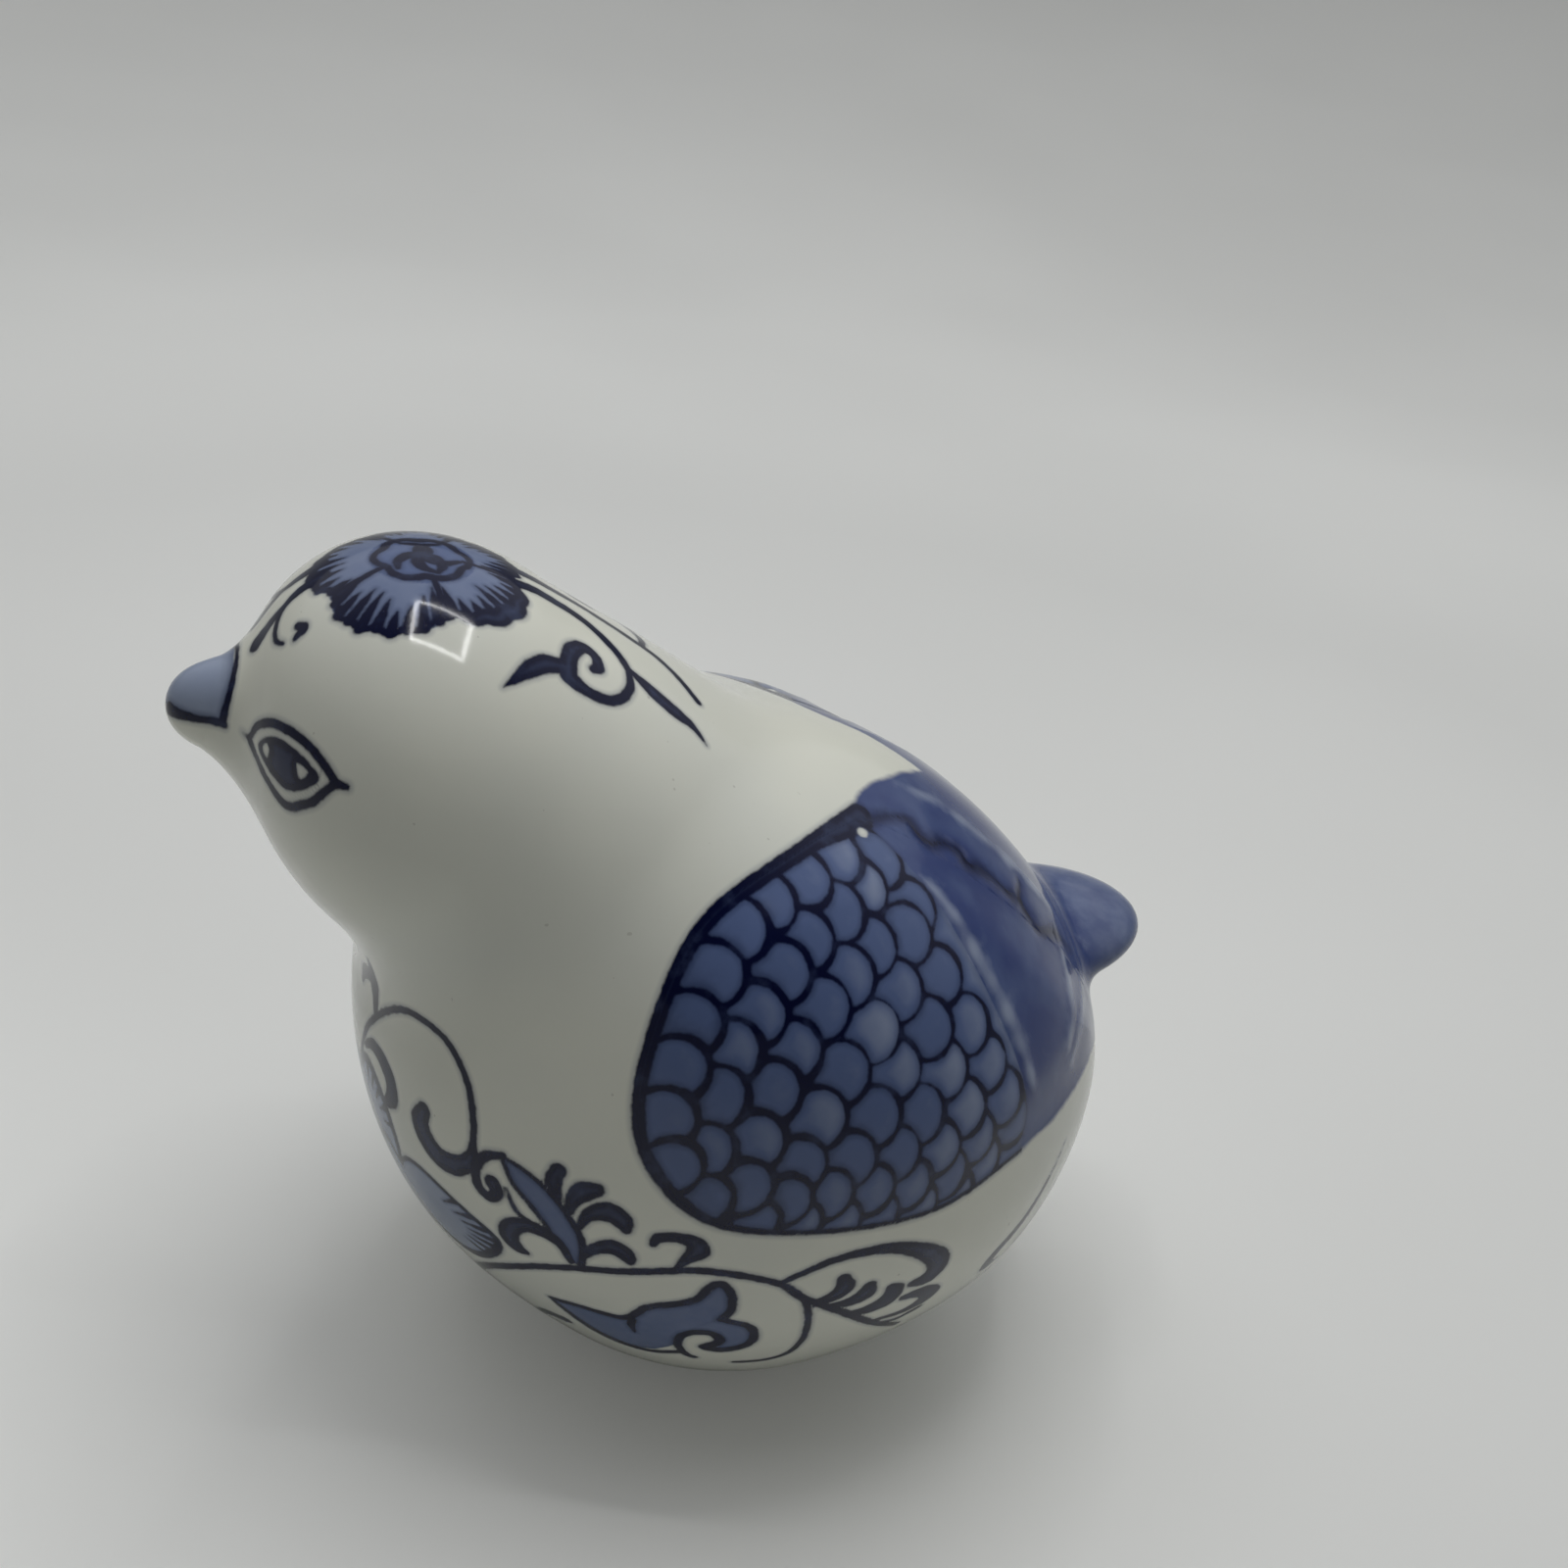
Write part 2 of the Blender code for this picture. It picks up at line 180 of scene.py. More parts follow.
@dataclass(frozen=True)
class Egg:
    """One ellipsoid of the figure, with its +Y end raised by the pitch."""

    centre: Place
    half: Place
    pitch: float = 0.0
    yaw: float = 0.0
    paired: bool = False

    def distance(self, points: Array) -> Array:
        """Near enough the signed distance: k(k - 1) over the slope of k, the scaled radius."""
        x, y, z = points.T
        x = (np.abs(x) if self.paired else x) - self.centre[0]
        y = y - self.centre[1]
        z = z - self.centre[2]
        if self.yaw:
            turn = math.radians(self.yaw)
            x, y = math.cos(turn) * x + math.sin(turn) * y, math.cos(turn) * y - math.sin(turn) * x
        if self.pitch:
            tilt = math.radians(self.pitch)
            y, z = math.cos(tilt) * y + math.sin(tilt) * z, math.cos(tilt) * z - math.sin(tilt) * y
        a, b, c = (x / self.half[0], y / self.half[1], z / self.half[2])
        near = np.sqrt(a * a + b * b + c * c)
        a, b, c = (a / self.half[0], b / self.half[1], c / self.half[2])
        return near * (near - 1.0) / (np.sqrt(a * a + b * b + c * c) + 1e-9)


@dataclass(frozen=True)
class BirdForm:
    """The figure that all castings share: ellipsoids melted into one skin."""

    belly: Egg = Egg((0.0, 4.6, 33.5), (36.6, 35.7, 36.9))
    breast: Egg = Egg((0.0, -16.5, 44.3), (27.1, 19.0, 26.6))
    rump: Egg = Egg((0.0, 24.3, 35.7), (24.2, 19.7, 16.0), pitch=-11.0)
    flank: Egg = Egg((11.5, 7.6, 38.1), (24.7, 35.8, 25.1), pitch=-46.0, yaw=6.0, paired=True)
    head: Egg = Egg((0.0, -27.2, 68.7), (22.4, 18.1, 22.4), pitch=34.0)
    tongue: Egg = Egg((0.0, 35.6, 44.8), (11.3, 17.0, 4.7), pitch=5.0)
    breast_blend: float = 12.9
    rump_blend: float = 14.9
    flank_blend: float = 4.3
    throat_blend: float = 6.0
    nape_blend: float = 22.8
    throat_y: float = -40.0
    nape_y: float = 0.0
    beak_tip: Place = (0.0, -52.5, 75.5)
    beak_length: float = 15.4
    beak_root: float = 6.5
    beak_end: float = 3.8
    beak_slimness: float = 1.09
    beak_blend: float = 5.4
    tail_blend: float = 2.2
    inset: float = 0.05

    def figure(self, points: Array) -> Array:
        """Distance to the bird without beak and tail; the neck's fillet widens to the nape."""
        torso = melt(self.belly.distance(points), self.breast.distance(points), self.breast_blend)
        torso = melt(torso, self.rump.distance(points), self.rump_blend)
        way = ease(points[:, 1], self.throat_y, self.nape_y)
        neck = self.throat_blend + (self.nape_blend - self.throat_blend) * way
        torso = melt(torso, self.head.distance(points), neck)
        return melt(torso, self.flank.distance(points), self.flank_blend) + self.inset

    def beak(self, points: Array) -> Array:
        """Distance to a blunt cone from the beak's tip towards the head's centre."""
        tip = np.array(self.beak_tip)
        axis = unit(np.array(self.head.centre) - tip)
        length = self.beak_length - self.beak_end
        local = (points - tip - axis * self.beak_end) * (self.beak_slimness, 1.0, 1.0)
        along = np.clip(local @ axis, 0.0, length)
        radius = self.beak_end + (self.beak_root - self.beak_end) * along / length
        return np.linalg.norm(local - along[:, None] * axis, axis=1) - radius + self.inset

    def beaked(self, points: Array) -> Array:
        """Distance to the bird with its beak flared into the face."""
        return melt(self.figure(points), self.beak(points), self.beak_blend)

    def tailed(self, points: Array) -> Array:
        """Distance to the bird with its tail flared into the rump."""
        tongue = self.tongue.distance(points) + self.inset
        return melt(self.figure(points), tongue, self.tail_blend)


def slope_of(skin: Field, points: Array, reach: float = 0.06) -> Array:
    """Unit normals of a field by central differences along the three axes."""
    steps = np.eye(3) * reach
    return unit(np.stack([skin(points + step) - skin(points - step) for step in steps], axis=1))


def reach_skin(skin: Field, origin: Array, rays: Array, level: Field | None = None) -> Array:
    """Points where rays that start inside a field first reach it.

    Each point is carried on by a share of the distance that is left. Once on the skin, it is
    carried on to the level that holds there.

    Args:
        skin: Signed distance to the figure.
        origin: Start of all rays, or one start for each.
        rays: Unit directions in rows.
        level: Height over the skin as a function of the point on the skin, in mm.

    Returns:
        One point for each ray.
    """
    starts = np.broadcast_to(origin, rays.shape)
    travel = np.zeros(len(rays))

    def carry(wanted: Array) -> None:
        """Move every ray's end on until the field has the wanted value there."""
        moving = np.arange(len(rays))
        for _ in range(70):
            at = starts[moving] + rays[moving] * travel[moving, None]
            gap = skin(at) - wanted[moving]
            travel[moving] -= 0.9 * gap
            moving = moving[np.abs(gap) > 2e-4]
            if not len(moving):
                break

    carry(np.zeros(len(rays)))
    if level is not None:
        carry(level(starts + rays * travel[:, None]))
    return starts + rays * travel[:, None]


def sweep(start: Array, end: Array, shares: Array) -> Array:
    """Directions on great circles from start to end, one row for each share.

    Args:
        start: Unit vectors, one for each column.
        end: Unit vectors, one for each column, or one for all.
        shares: How far along the circle each row lies, from 0 to 1.

    Returns:
        Array of rows, columns and three axes.
    """
    end = np.broadcast_to(end, start.shape)
    angle = np.arccos(np.clip((start * end).sum(axis=1), -1.0, 1.0))[None, :, None]
    share = shares[:, None, None]
    mix = np.sin((1.0 - share) * angle) * start + np.sin(share * angle) * end
    return mix / np.sin(angle)


@dataclass
class Grid:
    """Points in rows and columns, with a normal for each."""

    points: Array
    normals: Array
    wraps: bool = True
    rings: bool = False
    first_pole: bool = False
    last_pole: bool = False

    def faces(self) -> tuple[Array, list[list[int]]]:
        """Flat list of vertices and the faces between them.

        Returns:
            Index of the kept grid points, and quads with triangle fans at the poles.
        """
        rows, columns = self.points.shape[:2]
        index = np.arange(rows * columns).reshape(rows, columns)
        kept = np.ones((rows, columns), bool)
        if self.first_pole:
            index[0] = index[0, 0]
            kept[0, 1:] = False
        if self.last_pole:
            index[-1] = index[-1, 0]
            kept[-1, 1:] = False
        order = np.cumsum(kept.ravel()) - 1
        index = order[index]
        if self.wraps:
            index = np.concatenate([index, index[:, :1]], axis=1)
        if self.rings:
            index = np.concatenate([index, index[:1]])
        quads = np.stack([index[:-1, :-1], index[:-1, 1:], index[1:, 1:], index[1:, :-1]], axis=2)
        body = quads[int(self.first_pole) : len(quads) - int(self.last_pole)].reshape(-1, 4).tolist()
        if self.first_pole:
            body += quads[0][:, [0, 2, 3]].tolist()
        if self.last_pole:
            body += quads[-1][:, [0, 1, 2]].tolist()
        return np.flatnonzero(kept.ravel()), body


def add_piece(name: str, grid: Grid, paint: dict[str, Array]) -> bpy.types.Object:
    """Make a smooth object of a grid, with normals from its field and painting as attributes.

    Args:
        name: Name of the piece.
        grid: Points and normals, in mm.
        paint: Values for each grid point, by attribute name.

    Returns:
        The new object, at the origin.
    """
    kept, faces = grid.faces()
    points = grid.points.reshape(-1, 3)[kept]
    normals = grid.normals.reshape(-1, 3)[kept]
    corners = np.array([face[:3] for face in faces[:: max(1, len(faces) // 500)]])
    first, second, third = (points[corners[:, i]] for i in range(3))
    facing = (np.cross(second - first, third - first) * normals[corners[:, 0]]).sum(axis=1)
    if np.median(facing) < 0.0:
        faces = [face[::-1] for face in faces]
    mesh = bpy.data.meshes.new(name)
    mesh.from_pydata((points * MM).tolist(), [], faces)
    mesh.shade_smooth()
    mesh.normals_split_custom_set_from_vertices(normals.tolist())
    for key, values in paint.items():
        layer = mesh.attributes.new(key, "FLOAT", "POINT")
        layer.data.foreach_set("value", values.reshape(-1)[kept].astype(np.float32))
    piece = bpy.data.objects.new(name, mesh)
    bpy.context.scene.collection.objects.link(piece)
    LOG.info("%s: %d faces", name, len(faces))
    return piece


class Ink(Enum):
    """What a mark of the brush adds to the painting."""

    LINE = "line"
    WASH = "wash"
    RESERVE = "reserve"


@dataclass(frozen=True)
class FlatChart:
    """A flat drawing laid on the skin along one direction."""

    origin: Place
    across: Place
    upward: Place
    toward: Place
    depth: float

    def flat(self, spots: Array) -> Array:
        """Spots of the drawing as places on the chart, in mm."""
        return np.asarray(spots, float)

    def read(self, points: Array) -> Array:
        """Where points lie on the chart, in mm."""
        away = points - np.array(self.origin)
        return np.stack([away @ np.array(self.across), away @ np.array(self.upward)], axis=1)

    def near(self, points: Array) -> Array:
        """Which points are on the side that the drawing is laid on."""
        return (points - np.array(self.origin)) @ np.array(self.toward) > -self.depth

    def lift(self, spots: Array, skin: Field) -> Array:
        """Spots carried onto the skin along the chart's direction."""
        axes = np.array([self.across, self.upward])
        starts = np.array(self.origin) + np.asarray(spots, float) @ axes
        return reach_skin(skin, starts, np.broadcast_to(np.array(self.toward), starts.shape))


@dataclass(frozen=True)
class WrapChart:
    """A drawing wrapped round an upright axis: sweep in degrees from the front, and height."""

    axis_y: float
    scale: float = 0.63
    top: float = 62.0

    def flat(self, spots: Array) -> Array:
        """Spots of the drawing as places on the unrolled chart, in mm."""
        return np.asarray(spots, float) * (self.scale, 1.0)

    def read(self, points: Array) -> Array:
        """Where points lie on the unrolled chart, in mm."""
        turn = np.degrees(np.arctan2(points[:, 0], self.axis_y - points[:, 1]))
        return np.stack([turn * self.scale, points[:, 2]], axis=1)

    def near(self, points: Array) -> Array:
        """Which points are low enough to be on the body."""
        return points[:, 2] < self.top

    def lift(self, spots: Array, skin: Field) -> Array:
        """Spots carried onto the skin, level, straight out from the axis."""
        spots = np.asarray(spots, float)
        turn = np.radians(spots[:, 0])
        rays = np.stack([np.sin(turn), -np.cos(turn), np.zeros_like(turn)], axis=1)
        starts = np.stack([np.zeros_like(turn), np.full_like(turn, self.axis_y), spots[:, 1]], axis=1)
        return reach_skin(skin, starts, rays)


@dataclass(frozen=True)
class Stroke:
    """One pull of the brush: spots on a chart, and full widths spread evenly along it."""

    spots: tuple[Spot, ...]
    widths: tuple[float, ...]
    paired: bool = True

    def path(self, steps: int = 5) -> Array:
        """Smooth run through the spots."""
        return flow(np.array(self.spots), steps)

    def halves(self, count: int) -> Array:
        """Half widths along the run."""
        places = np.linspace(0.0, 1.0, len(self.widths))
        return 0.5 * np.interp(np.linspace(0.0, 1.0, count), places, self.widths)


@dataclass(frozen=True)
class Patch:
    """A closed shape that is filled with one ink, paler where its tone is below zero."""

    spots: tuple[Spot, ...]
    ink: Ink = Ink.WASH
    paired: bool = True
    smooth: bool = True
    tone: float = 0.0

    def outline(self) -> Array:
        """Closed run round the shape."""
        return flow(np.array(self.spots), 5, closed=True) if self.smooth else np.array(self.spots)


@dataclass
class Motif:
    """Strokes and patches that share a chart."""

    chart: FlatChart | WrapChart
    strokes: list[Stroke]
    patches: list[Patch] = field(default_factory=list)

    def paint(self, points: Array, skin: Field, sheet: dict[str, Array]) -> None:
        """Lower the distances of a sheet where the motif comes closer.

        Args:
            points: Vertices, in mm.
            skin: Field that the strokes lie on.
            sheet: Distances and tones for each vertex, changed in place.
        """
        folded = points * (1.0, 1.0, 1.0)
        folded[:, 0] = np.abs(points[:, 0])
        for stroke in self.strokes:
            run = self.chart.lift(stroke.path(), skin)
            at = folded if stroke.paired else points
            sheet["line"] = np.minimum(sheet["line"], off_stroke(at, run, stroke.halves(len(run))))
        for patch in self.patches:
            outline = self.chart.flat(patch.outline())
            at = folded if patch.paired else points
            spots = self.chart.read(at)
            reach = (spots > outline.min(axis=0) - FAR) & (spots < outline.max(axis=0) + FAR)
            near = np.flatnonzero(reach.all(axis=1) & self.chart.near(at))
            gaps = off_outline(spots[near], outline)
            if patch.ink is Ink.RESERVE:
                sheet["line"][near] = np.maximum(sheet["line"][near], -gaps)
            else:
                key = patch.ink.value
                sheet[key][near] = np.minimum(sheet[key][near], gaps)
                sheet["pool"][near] = np.where(gaps < 0.4, patch.tone, sheet["pool"][near])


@dataclass(frozen=True)
class Scales:
    """Round fish scales laid one over the other: where each one shows, and the way they all point."""

    middles: tuple[Spot, ...] = (
        (1.5, 17.3), (6.0, 16.7), (-2.5, 15.2), (3.2, 14.2), (-6.5, 13.3), (0.2, 12.0), (8.4, 12.0),
        (-9.4, 11.0), (-3.4, 9.6), (3.0, 8.8), (7.3, 9.6), (-12.0, 7.2), (-6.0, 7.0), (0.3, 6.2),
        (5.3, 4.6), (10.2, 5.6), (-14.1, 3.0), (-8.5, 3.5), (-2.5, 3.6), (2.4, 1.2), (8.4, 1.0),
        (13.0, 0.9), (-15.3, -0.9), (-10.8, 0.4), (-5.4, 0.0), (-0.8, -2.3), (4.5, -2.4), (9.9, -3.0),
        (15.0, -2.9), (-16.2, -5.4), (-12.0, -3.6), (-7.3, -3.4), (-3.0, -6.2), (2.4, -6.5), (7.2, -6.8),
        (12.2, -6.8), (17.2, -6.3), (-15.2, -9.8), (-12.7, -8.5), (-8.5, -7.8), (-4.5, -10.3), (0.3, -10.2),
        (4.8, -10.2), (9.4, -10.2), (13.8, -9.8), (18.6, -8.8), (-12.2, -13.2), (-9.0, -12.0), (-5.2, -13.6),
        (-1.4, -13.4), (2.7, -13.4), (6.7, -13.4), (10.8, -13.0), (15.0, -12.2), (19.6, -11.6), (-7.4, -15.6),
        (-3.6, -16.0), (0.2, -16.2), (4.0, -16.0), (8.2, -15.6), (12.4, -15.0),
    )
    lean: float = 15.0
    tuck: float = 0.55
    corner: float = 0.17
    lines: Spot = (0.35, 0.27)
    dome: float = 0.015

    def radii(self) -> Array:
        """Radius of each scale; they get smaller towards the lower edge."""
        return np.interp(np.array(self.middles)[:, 1], (-15.5, -13.0, -9.0, -6.0), (2.25, 2.65, 2.75, 2.95))

    def cells(self, spots: Array) -> tuple[Array, Array, Array]:
        """Distance from spots to the line round their scale, a tone for each scale, and the way along it.

        Every scale is a disc that is tucked back under the ones in front of it. A spot belongs to the
        frontmost disc that covers it, and its line is the nearest of that disc's own edge and the
        edges of the discs in front. Nearest is taken softly, so that corners fill with ink. A spot
        that no disc covers takes the nearest edge of all.

        Args:
            spots: Places in the wing's view, in mm.

        Returns:
            Distances in mm, tones from -1 to 1, and places along the scale from -1 to 1.
        """
        lean = math.radians(self.lean)
        toward = np.array([math.cos(lean), math.sin(lean)])
        middles = np.array(self.middles) - self.tuck * toward
        order = np.argsort(middles @ toward)
        middles, radii = middles[order], self.radii()[order]
        beyond = np.hypot(spots[:, :1] - middles[:, 0], spots[:, 1:] - middles[:, 1]) - radii
        covered = (beyond < 0.0).any(axis=1)
        own = np.where(covered, (beyond < 0.0).argmax(axis=1), len(middles))
        owner = np.minimum(own, len(middles) - 1)
        edge = np.where(covered, -beyond[np.arange(len(spots)), owner], FAR)
        fronts = np.where(np.arange(len(middles)) < own[:, None], np.clip(beyond, 0.0, None), FAR)
        near = np.exp(-fronts / self.corner).sum(axis=1) + np.exp(-edge / self.corner)
        gap = -self.corner * np.log(near + 1e-12)
        ahead = ((spots - middles[owner]) @ toward - self.tuck) / 2.2
        tone = np.sin(91.7 * np.sin(3.1 * own) + 1.7 * own)
        return np.clip(gap, 0.0, FAR), tone, np.clip(ahead, -1.0, 1.0)


@dataclass(frozen=True)
class Wing:
    """Outlines, relief and marks of a folded wing, in a view from the side and from above.

    Spots are (behind, rise) from the belly's centre, seen along the view; both wings use them.
    """

    view: float = 35.0
    centre: Place = (0.0, 4.6, 33.5)
    front: tuple[Spot, ...] = (
        (5.5, 20.8),
        (-2.4, 17.6),
        (-12.8, 11.3),
        (-17.7, 1.4),
        (-18.2, -7.3),
        (-13.3, -14.3),
        (-5.4, -16.9),
        (9.2, -16.7),
        (20.4, -12.4),
    )
    divide: tuple[Spot, ...] = ((20.0, -6.1), (15.0, 4.7), (10.1, 14.3))
    rear: tuple[Spot, ...] = (
        (11.7, 18.1),
        (23.4, 10.9),
        (33.0, 4.0),
        (36.2, -3.0),
        (30.7, -6.5),
        (24.9, -9.9),
    )
    scales: Scales = Scales()
    swell: float = 0.7
    sink: float = 0.4
    ridges: tuple[Stroke, ...] = (
        Stroke(((10.4, 14.6), (12.0, 12.8), (13.8, 10.0), (15.0, 7.2), (16.8, 4.0), (18.6, 0.4), (20.2, -3.2), (21.4, -6.2)), (0.2, 0.7, 0.9, 0.8, 0.3)),
        Stroke(((12.0, 24.6), (17.0, 22.4), (22.0, 18.8), (27.0, 15.0), (31.5, 11.0)), (0.1, 0.4, 0.7, 0.4)),
        Stroke(((30.6, 6.6), (30.2, 4.0), (29.4, 1.0), (27.6, -3.0)), (0.2, 0.6, 0.6, 0.2)),
        Stroke(((34.0, 3.6), (33.0, 1.6), (30.8, -1.0), (28.4, -4.6)), (0.2, 0.6, 0.5, 0.2)),
    )
    creases: tuple[Stroke, ...] = (
        Stroke(
            ((7.1, 20.6), (9.3, 20.9), (11.4, 20.6), (12.2, 19.0), (13.4, 18.1), (15.6, 18.1), (17.2, 17.2), (17.9, 15.9), (19.9, 15.2), (21.6, 14.1), (23.3, 12.7), (24.8, 12.0)),
            (0.3, 0.5, 0.9, 0.6, 0.9, 0.5, 0.8),
        ),
        Stroke(((26.0, 13.8), (24.9, 12.2), (25.5, 10.5), (26.9, 8.8), (30.0, 8.4), (33.0, 6.4)), (0.3, 0.9, 0.6, 0.8, 0.2)),
    )
    mantle: tuple[Spot, ...] = (
        (4.7, 21.2),
        (5.3, 22.4),
        (6.8, 23.7),
        (9.3, 24.9),
        (13.4, 25.9),
        (17.4, 26.5),
        (21.0, 27.0),
        (24.0, 44.0),
        (70.0, 44.0),
        (70.0, -6.0),
        (44.0, -1.0),
        (36.8, -3.5),
        (34.0, -4.9),
        (30.0, -7.6),
        (25.5, -10.3),
        (18.4, -13.4),
        (17.4, -6.6),
        (14.5, 2.4),
        (10.0, 10.6),
        (6.4, 17.6),
    )

    def axes(self) -> tuple[Array, Array]:
        """Outward and upward axes of the left wing's view."""
        tilt = math.radians(self.view)
        outward = np.array([math.cos(tilt), 0.0, math.sin(tilt)])
        return outward, np.array([-math.sin(tilt), 0.0, math.cos(tilt)])

    def spots(self, points: Array) -> Array:
        """Where points of either side lie in the wing's view."""
        away = points - np.array(self.centre)
        away[:, 0] = np.abs(points[:, 0])
        return np.stack([away[:, 1], away @ self.axes()[1]], axis=1)

    def beside(self, points: Array) -> Array:
        """Index of the points that are close enough to a wing to carry its relief or paint."""
        spots = self.spots(points)
        zone = (spots > (-22.0, -21.0)) & (spots < (48.0, 30.0))
        outer = (np.abs(points[:, 0]) > 1.0) & (points[:, 2] > 20.0)
        return np.flatnonzero(zone.all(axis=1) & outer)

    def divide_run(self) -> Array:
        """The line between scales and feathers, from the bottom up."""
        return flow(np.array((self.front[-1], *self.divide, self.front[0])), 8)

    def rear_run(self) -> Array:
        """The edge of the feathers, from the top corner round to the bottom corner."""
        return flow(np.array((self.front[0], *self.rear, self.front[-1])), 8)

    def scale_outline(self) -> Array:
        """Closed outline of the scaled shoulder."""
        return np.vstack([flow(np.array(self.front), 8)[:-1], self.divide_run()[:-1]])

    def feather_outline(self) -> Array:
        """Closed outline of the feathered end."""
        return np.vstack([self.rear_run()[:-1], self.divide_run()[:-1]])

    def whole_outline(self) -> Array:
        """Closed outline of the whole wing."""
        return np.vstack([flow(np.array(self.front), 8)[:-1], self.rear_run()[::-1][:-1]])

    def folds(self, spots: Array) -> tuple[Array, Array]:
        """How strongly ridges and creases show at spots, from 0 to 1."""
        shares = []
        for group in (self.ridges, self.creases):
            gap = np.full(len(spots), FAR)
            for stroke in group:
                run = stroke.path(4)
                gap = np.minimum(gap, off_stroke(spots, run, stroke.halves(len(run))))
            shares.append(np.exp(-((np.clip(gap + 0.35, 0.0, None) / 0.95) ** 2)))
        return shares[0], shares[1]

    def height(self, points: Array, dressed: bool) -> Array:
        """Relief over the figure.

        Ridges stand up and creases cut in everywhere. A dressed wing adds a low swell that
        starts at its outline, and a dome on every scale; the bare body dips inside the outline.

        Args:
            points: Points near the skin, on either side.
            dressed: Whether the wing's own skin is wanted, or the body's under it.

        Returns:
            Heights in mm, zero away from the wings.
        """
        near = self.beside(points)
        spots = self.spots(points[near])
        within = -off_outline(spots, self.whole_outline())
        ridge, crease = self.folds(spots)
        level = 0.09 * ridge - 0.14 * crease
        if dressed:
            level += ease(within, 0.0, 6.0) * self.swell
            panel = -off_outline(spots, self.scale_outline())
            scaled = np.flatnonzero(panel > 0.0)
            gap, _, _ = self.scales.cells(spots[scaled])
            level[scaled] += ease(panel[scaled], 0.0, 1.2) * self.scales.dome * (ease(gap, 0.0, 1.3) - 0.5)
        else:
            level -= ease(within, 0.0, 0.8) * self.sink
        heights = np.zeros(len(points))
        heights[near] = level
        return heights

    def paint(self, points: Array, sheet: dict[str, Array]) -> None:
        """Lay the scales, the cobalt mantle, the glaze pooled in the creases and thin on the ridges, and the tone of
        each scale with its painted shade on a sheet.

        Args:
            points: Vertices, in mm.
            sheet: Distances and tones for each vertex, changed in place.
        """
        spots = self.spots(points)
        upper = points[:, 2] > 30.0
        sheet["mantle"] = np.where(upper, np.clip(off_outline(spots, np.array(self.mantle)), -6.0, 6.0), 6.0)
        near = self.beside(points)
        spots = spots[near]
        panel = off_outline(spots, self.scale_outline())
        gap, tone, ahead = self.scales.cells(spots)
        behind, rise = spots.T
        faint = np.exp(-((behind - 4.0) ** 2 + (rise - 0.5) ** 2) / 40.0)
        half = self.scales.lines[0] + (self.scales.lines[1] - self.scales.lines[0]) * ease(behind, -10.0, 6.0) - 0.1 * faint
        half = half + 0.12 * np.sin(0.9 * behind + 0.5 * rise) * np.sin(0.7 * rise - 0.4 * behind + 1.0)
        lines = np.maximum(gap - half, panel)
        rim = flow(np.array(self.front), 8)
        rim_gap = off_stroke(spots, rim, 0.5 * np.interp(np.linspace(0.0, 1.0, len(rim)), (0.0, 0.1, 0.35, 0.6, 0.75, 1.0), (3.0, 1.7, 1.3, 1.1, 0.6, 0.4)))
        dot = np.linalg.norm((spots - np.array([5.1, 19.3])) * (0.8, 1.0), axis=1) - 0.5
        lines = np.minimum(lines, rim_gap)
        for stroke in self.creases:
            run = stroke.path(4)
            lines = np.minimum(lines, off_stroke(spots, run, 0.75 * stroke.halves(len(run)) - 0.08))
        ridge, crease = self.folds(spots)
        sheet["line"][near] = np.maximum(np.minimum(sheet["line"][near], lines), -dot)
        sheet["wash"][near] = np.maximum(np.minimum(sheet["wash"][near], panel), -dot)
        sheet["mantle"][near] = np.maximum(sheet["mantle"][near], -dot)
        inside = ease(-panel, -0.2, 0.2)
        # Tone of each scale: a random share, darker next to its outline, and painted shade at its front where it tucks
        # under the scale in front; the panel also gets darker towards its front.
        shade = 0.4 * tone + 0.5 * (1.0 - ease(gap, 0.2, 1.5)) - 0.35 * ahead + 0.6 * (1.0 - ease(behind, -17.0, 2.0)) - 0.5
        uneven = 0.72 + 0.28 * np.sin(1.2 * rise - 0.7 * behind) * np.sin(0.45 * rise + 0.9)
        sheet["pool"][near] = (1.0 - inside) * crease + inside * shade - 0.9 * uneven * ridge


@dataclass(frozen=True)
class Neck:
    """The plane where the head meets the body, and the loop that it cuts."""

    middle: Place = (0.0, -16.8, 61.1)
    tilt: float = 31.0
    lip: float = 0.6

    def loop(self, form: BirdForm, turn: Array) -> Array:
        """Points of the loop at angles about the plane's normal, by rays from its middle."""
        tilt = math.radians(self.tilt)
        back = np.array([0.0, math.cos(tilt), math.sin(tilt)])
        rays = np.cos(turn)[:, None] * np.array([1.0, 0.0, 0.0]) + np.sin(turn)[:, None] * back
        return reach_skin(form.figure, np.array(self.middle), rays)


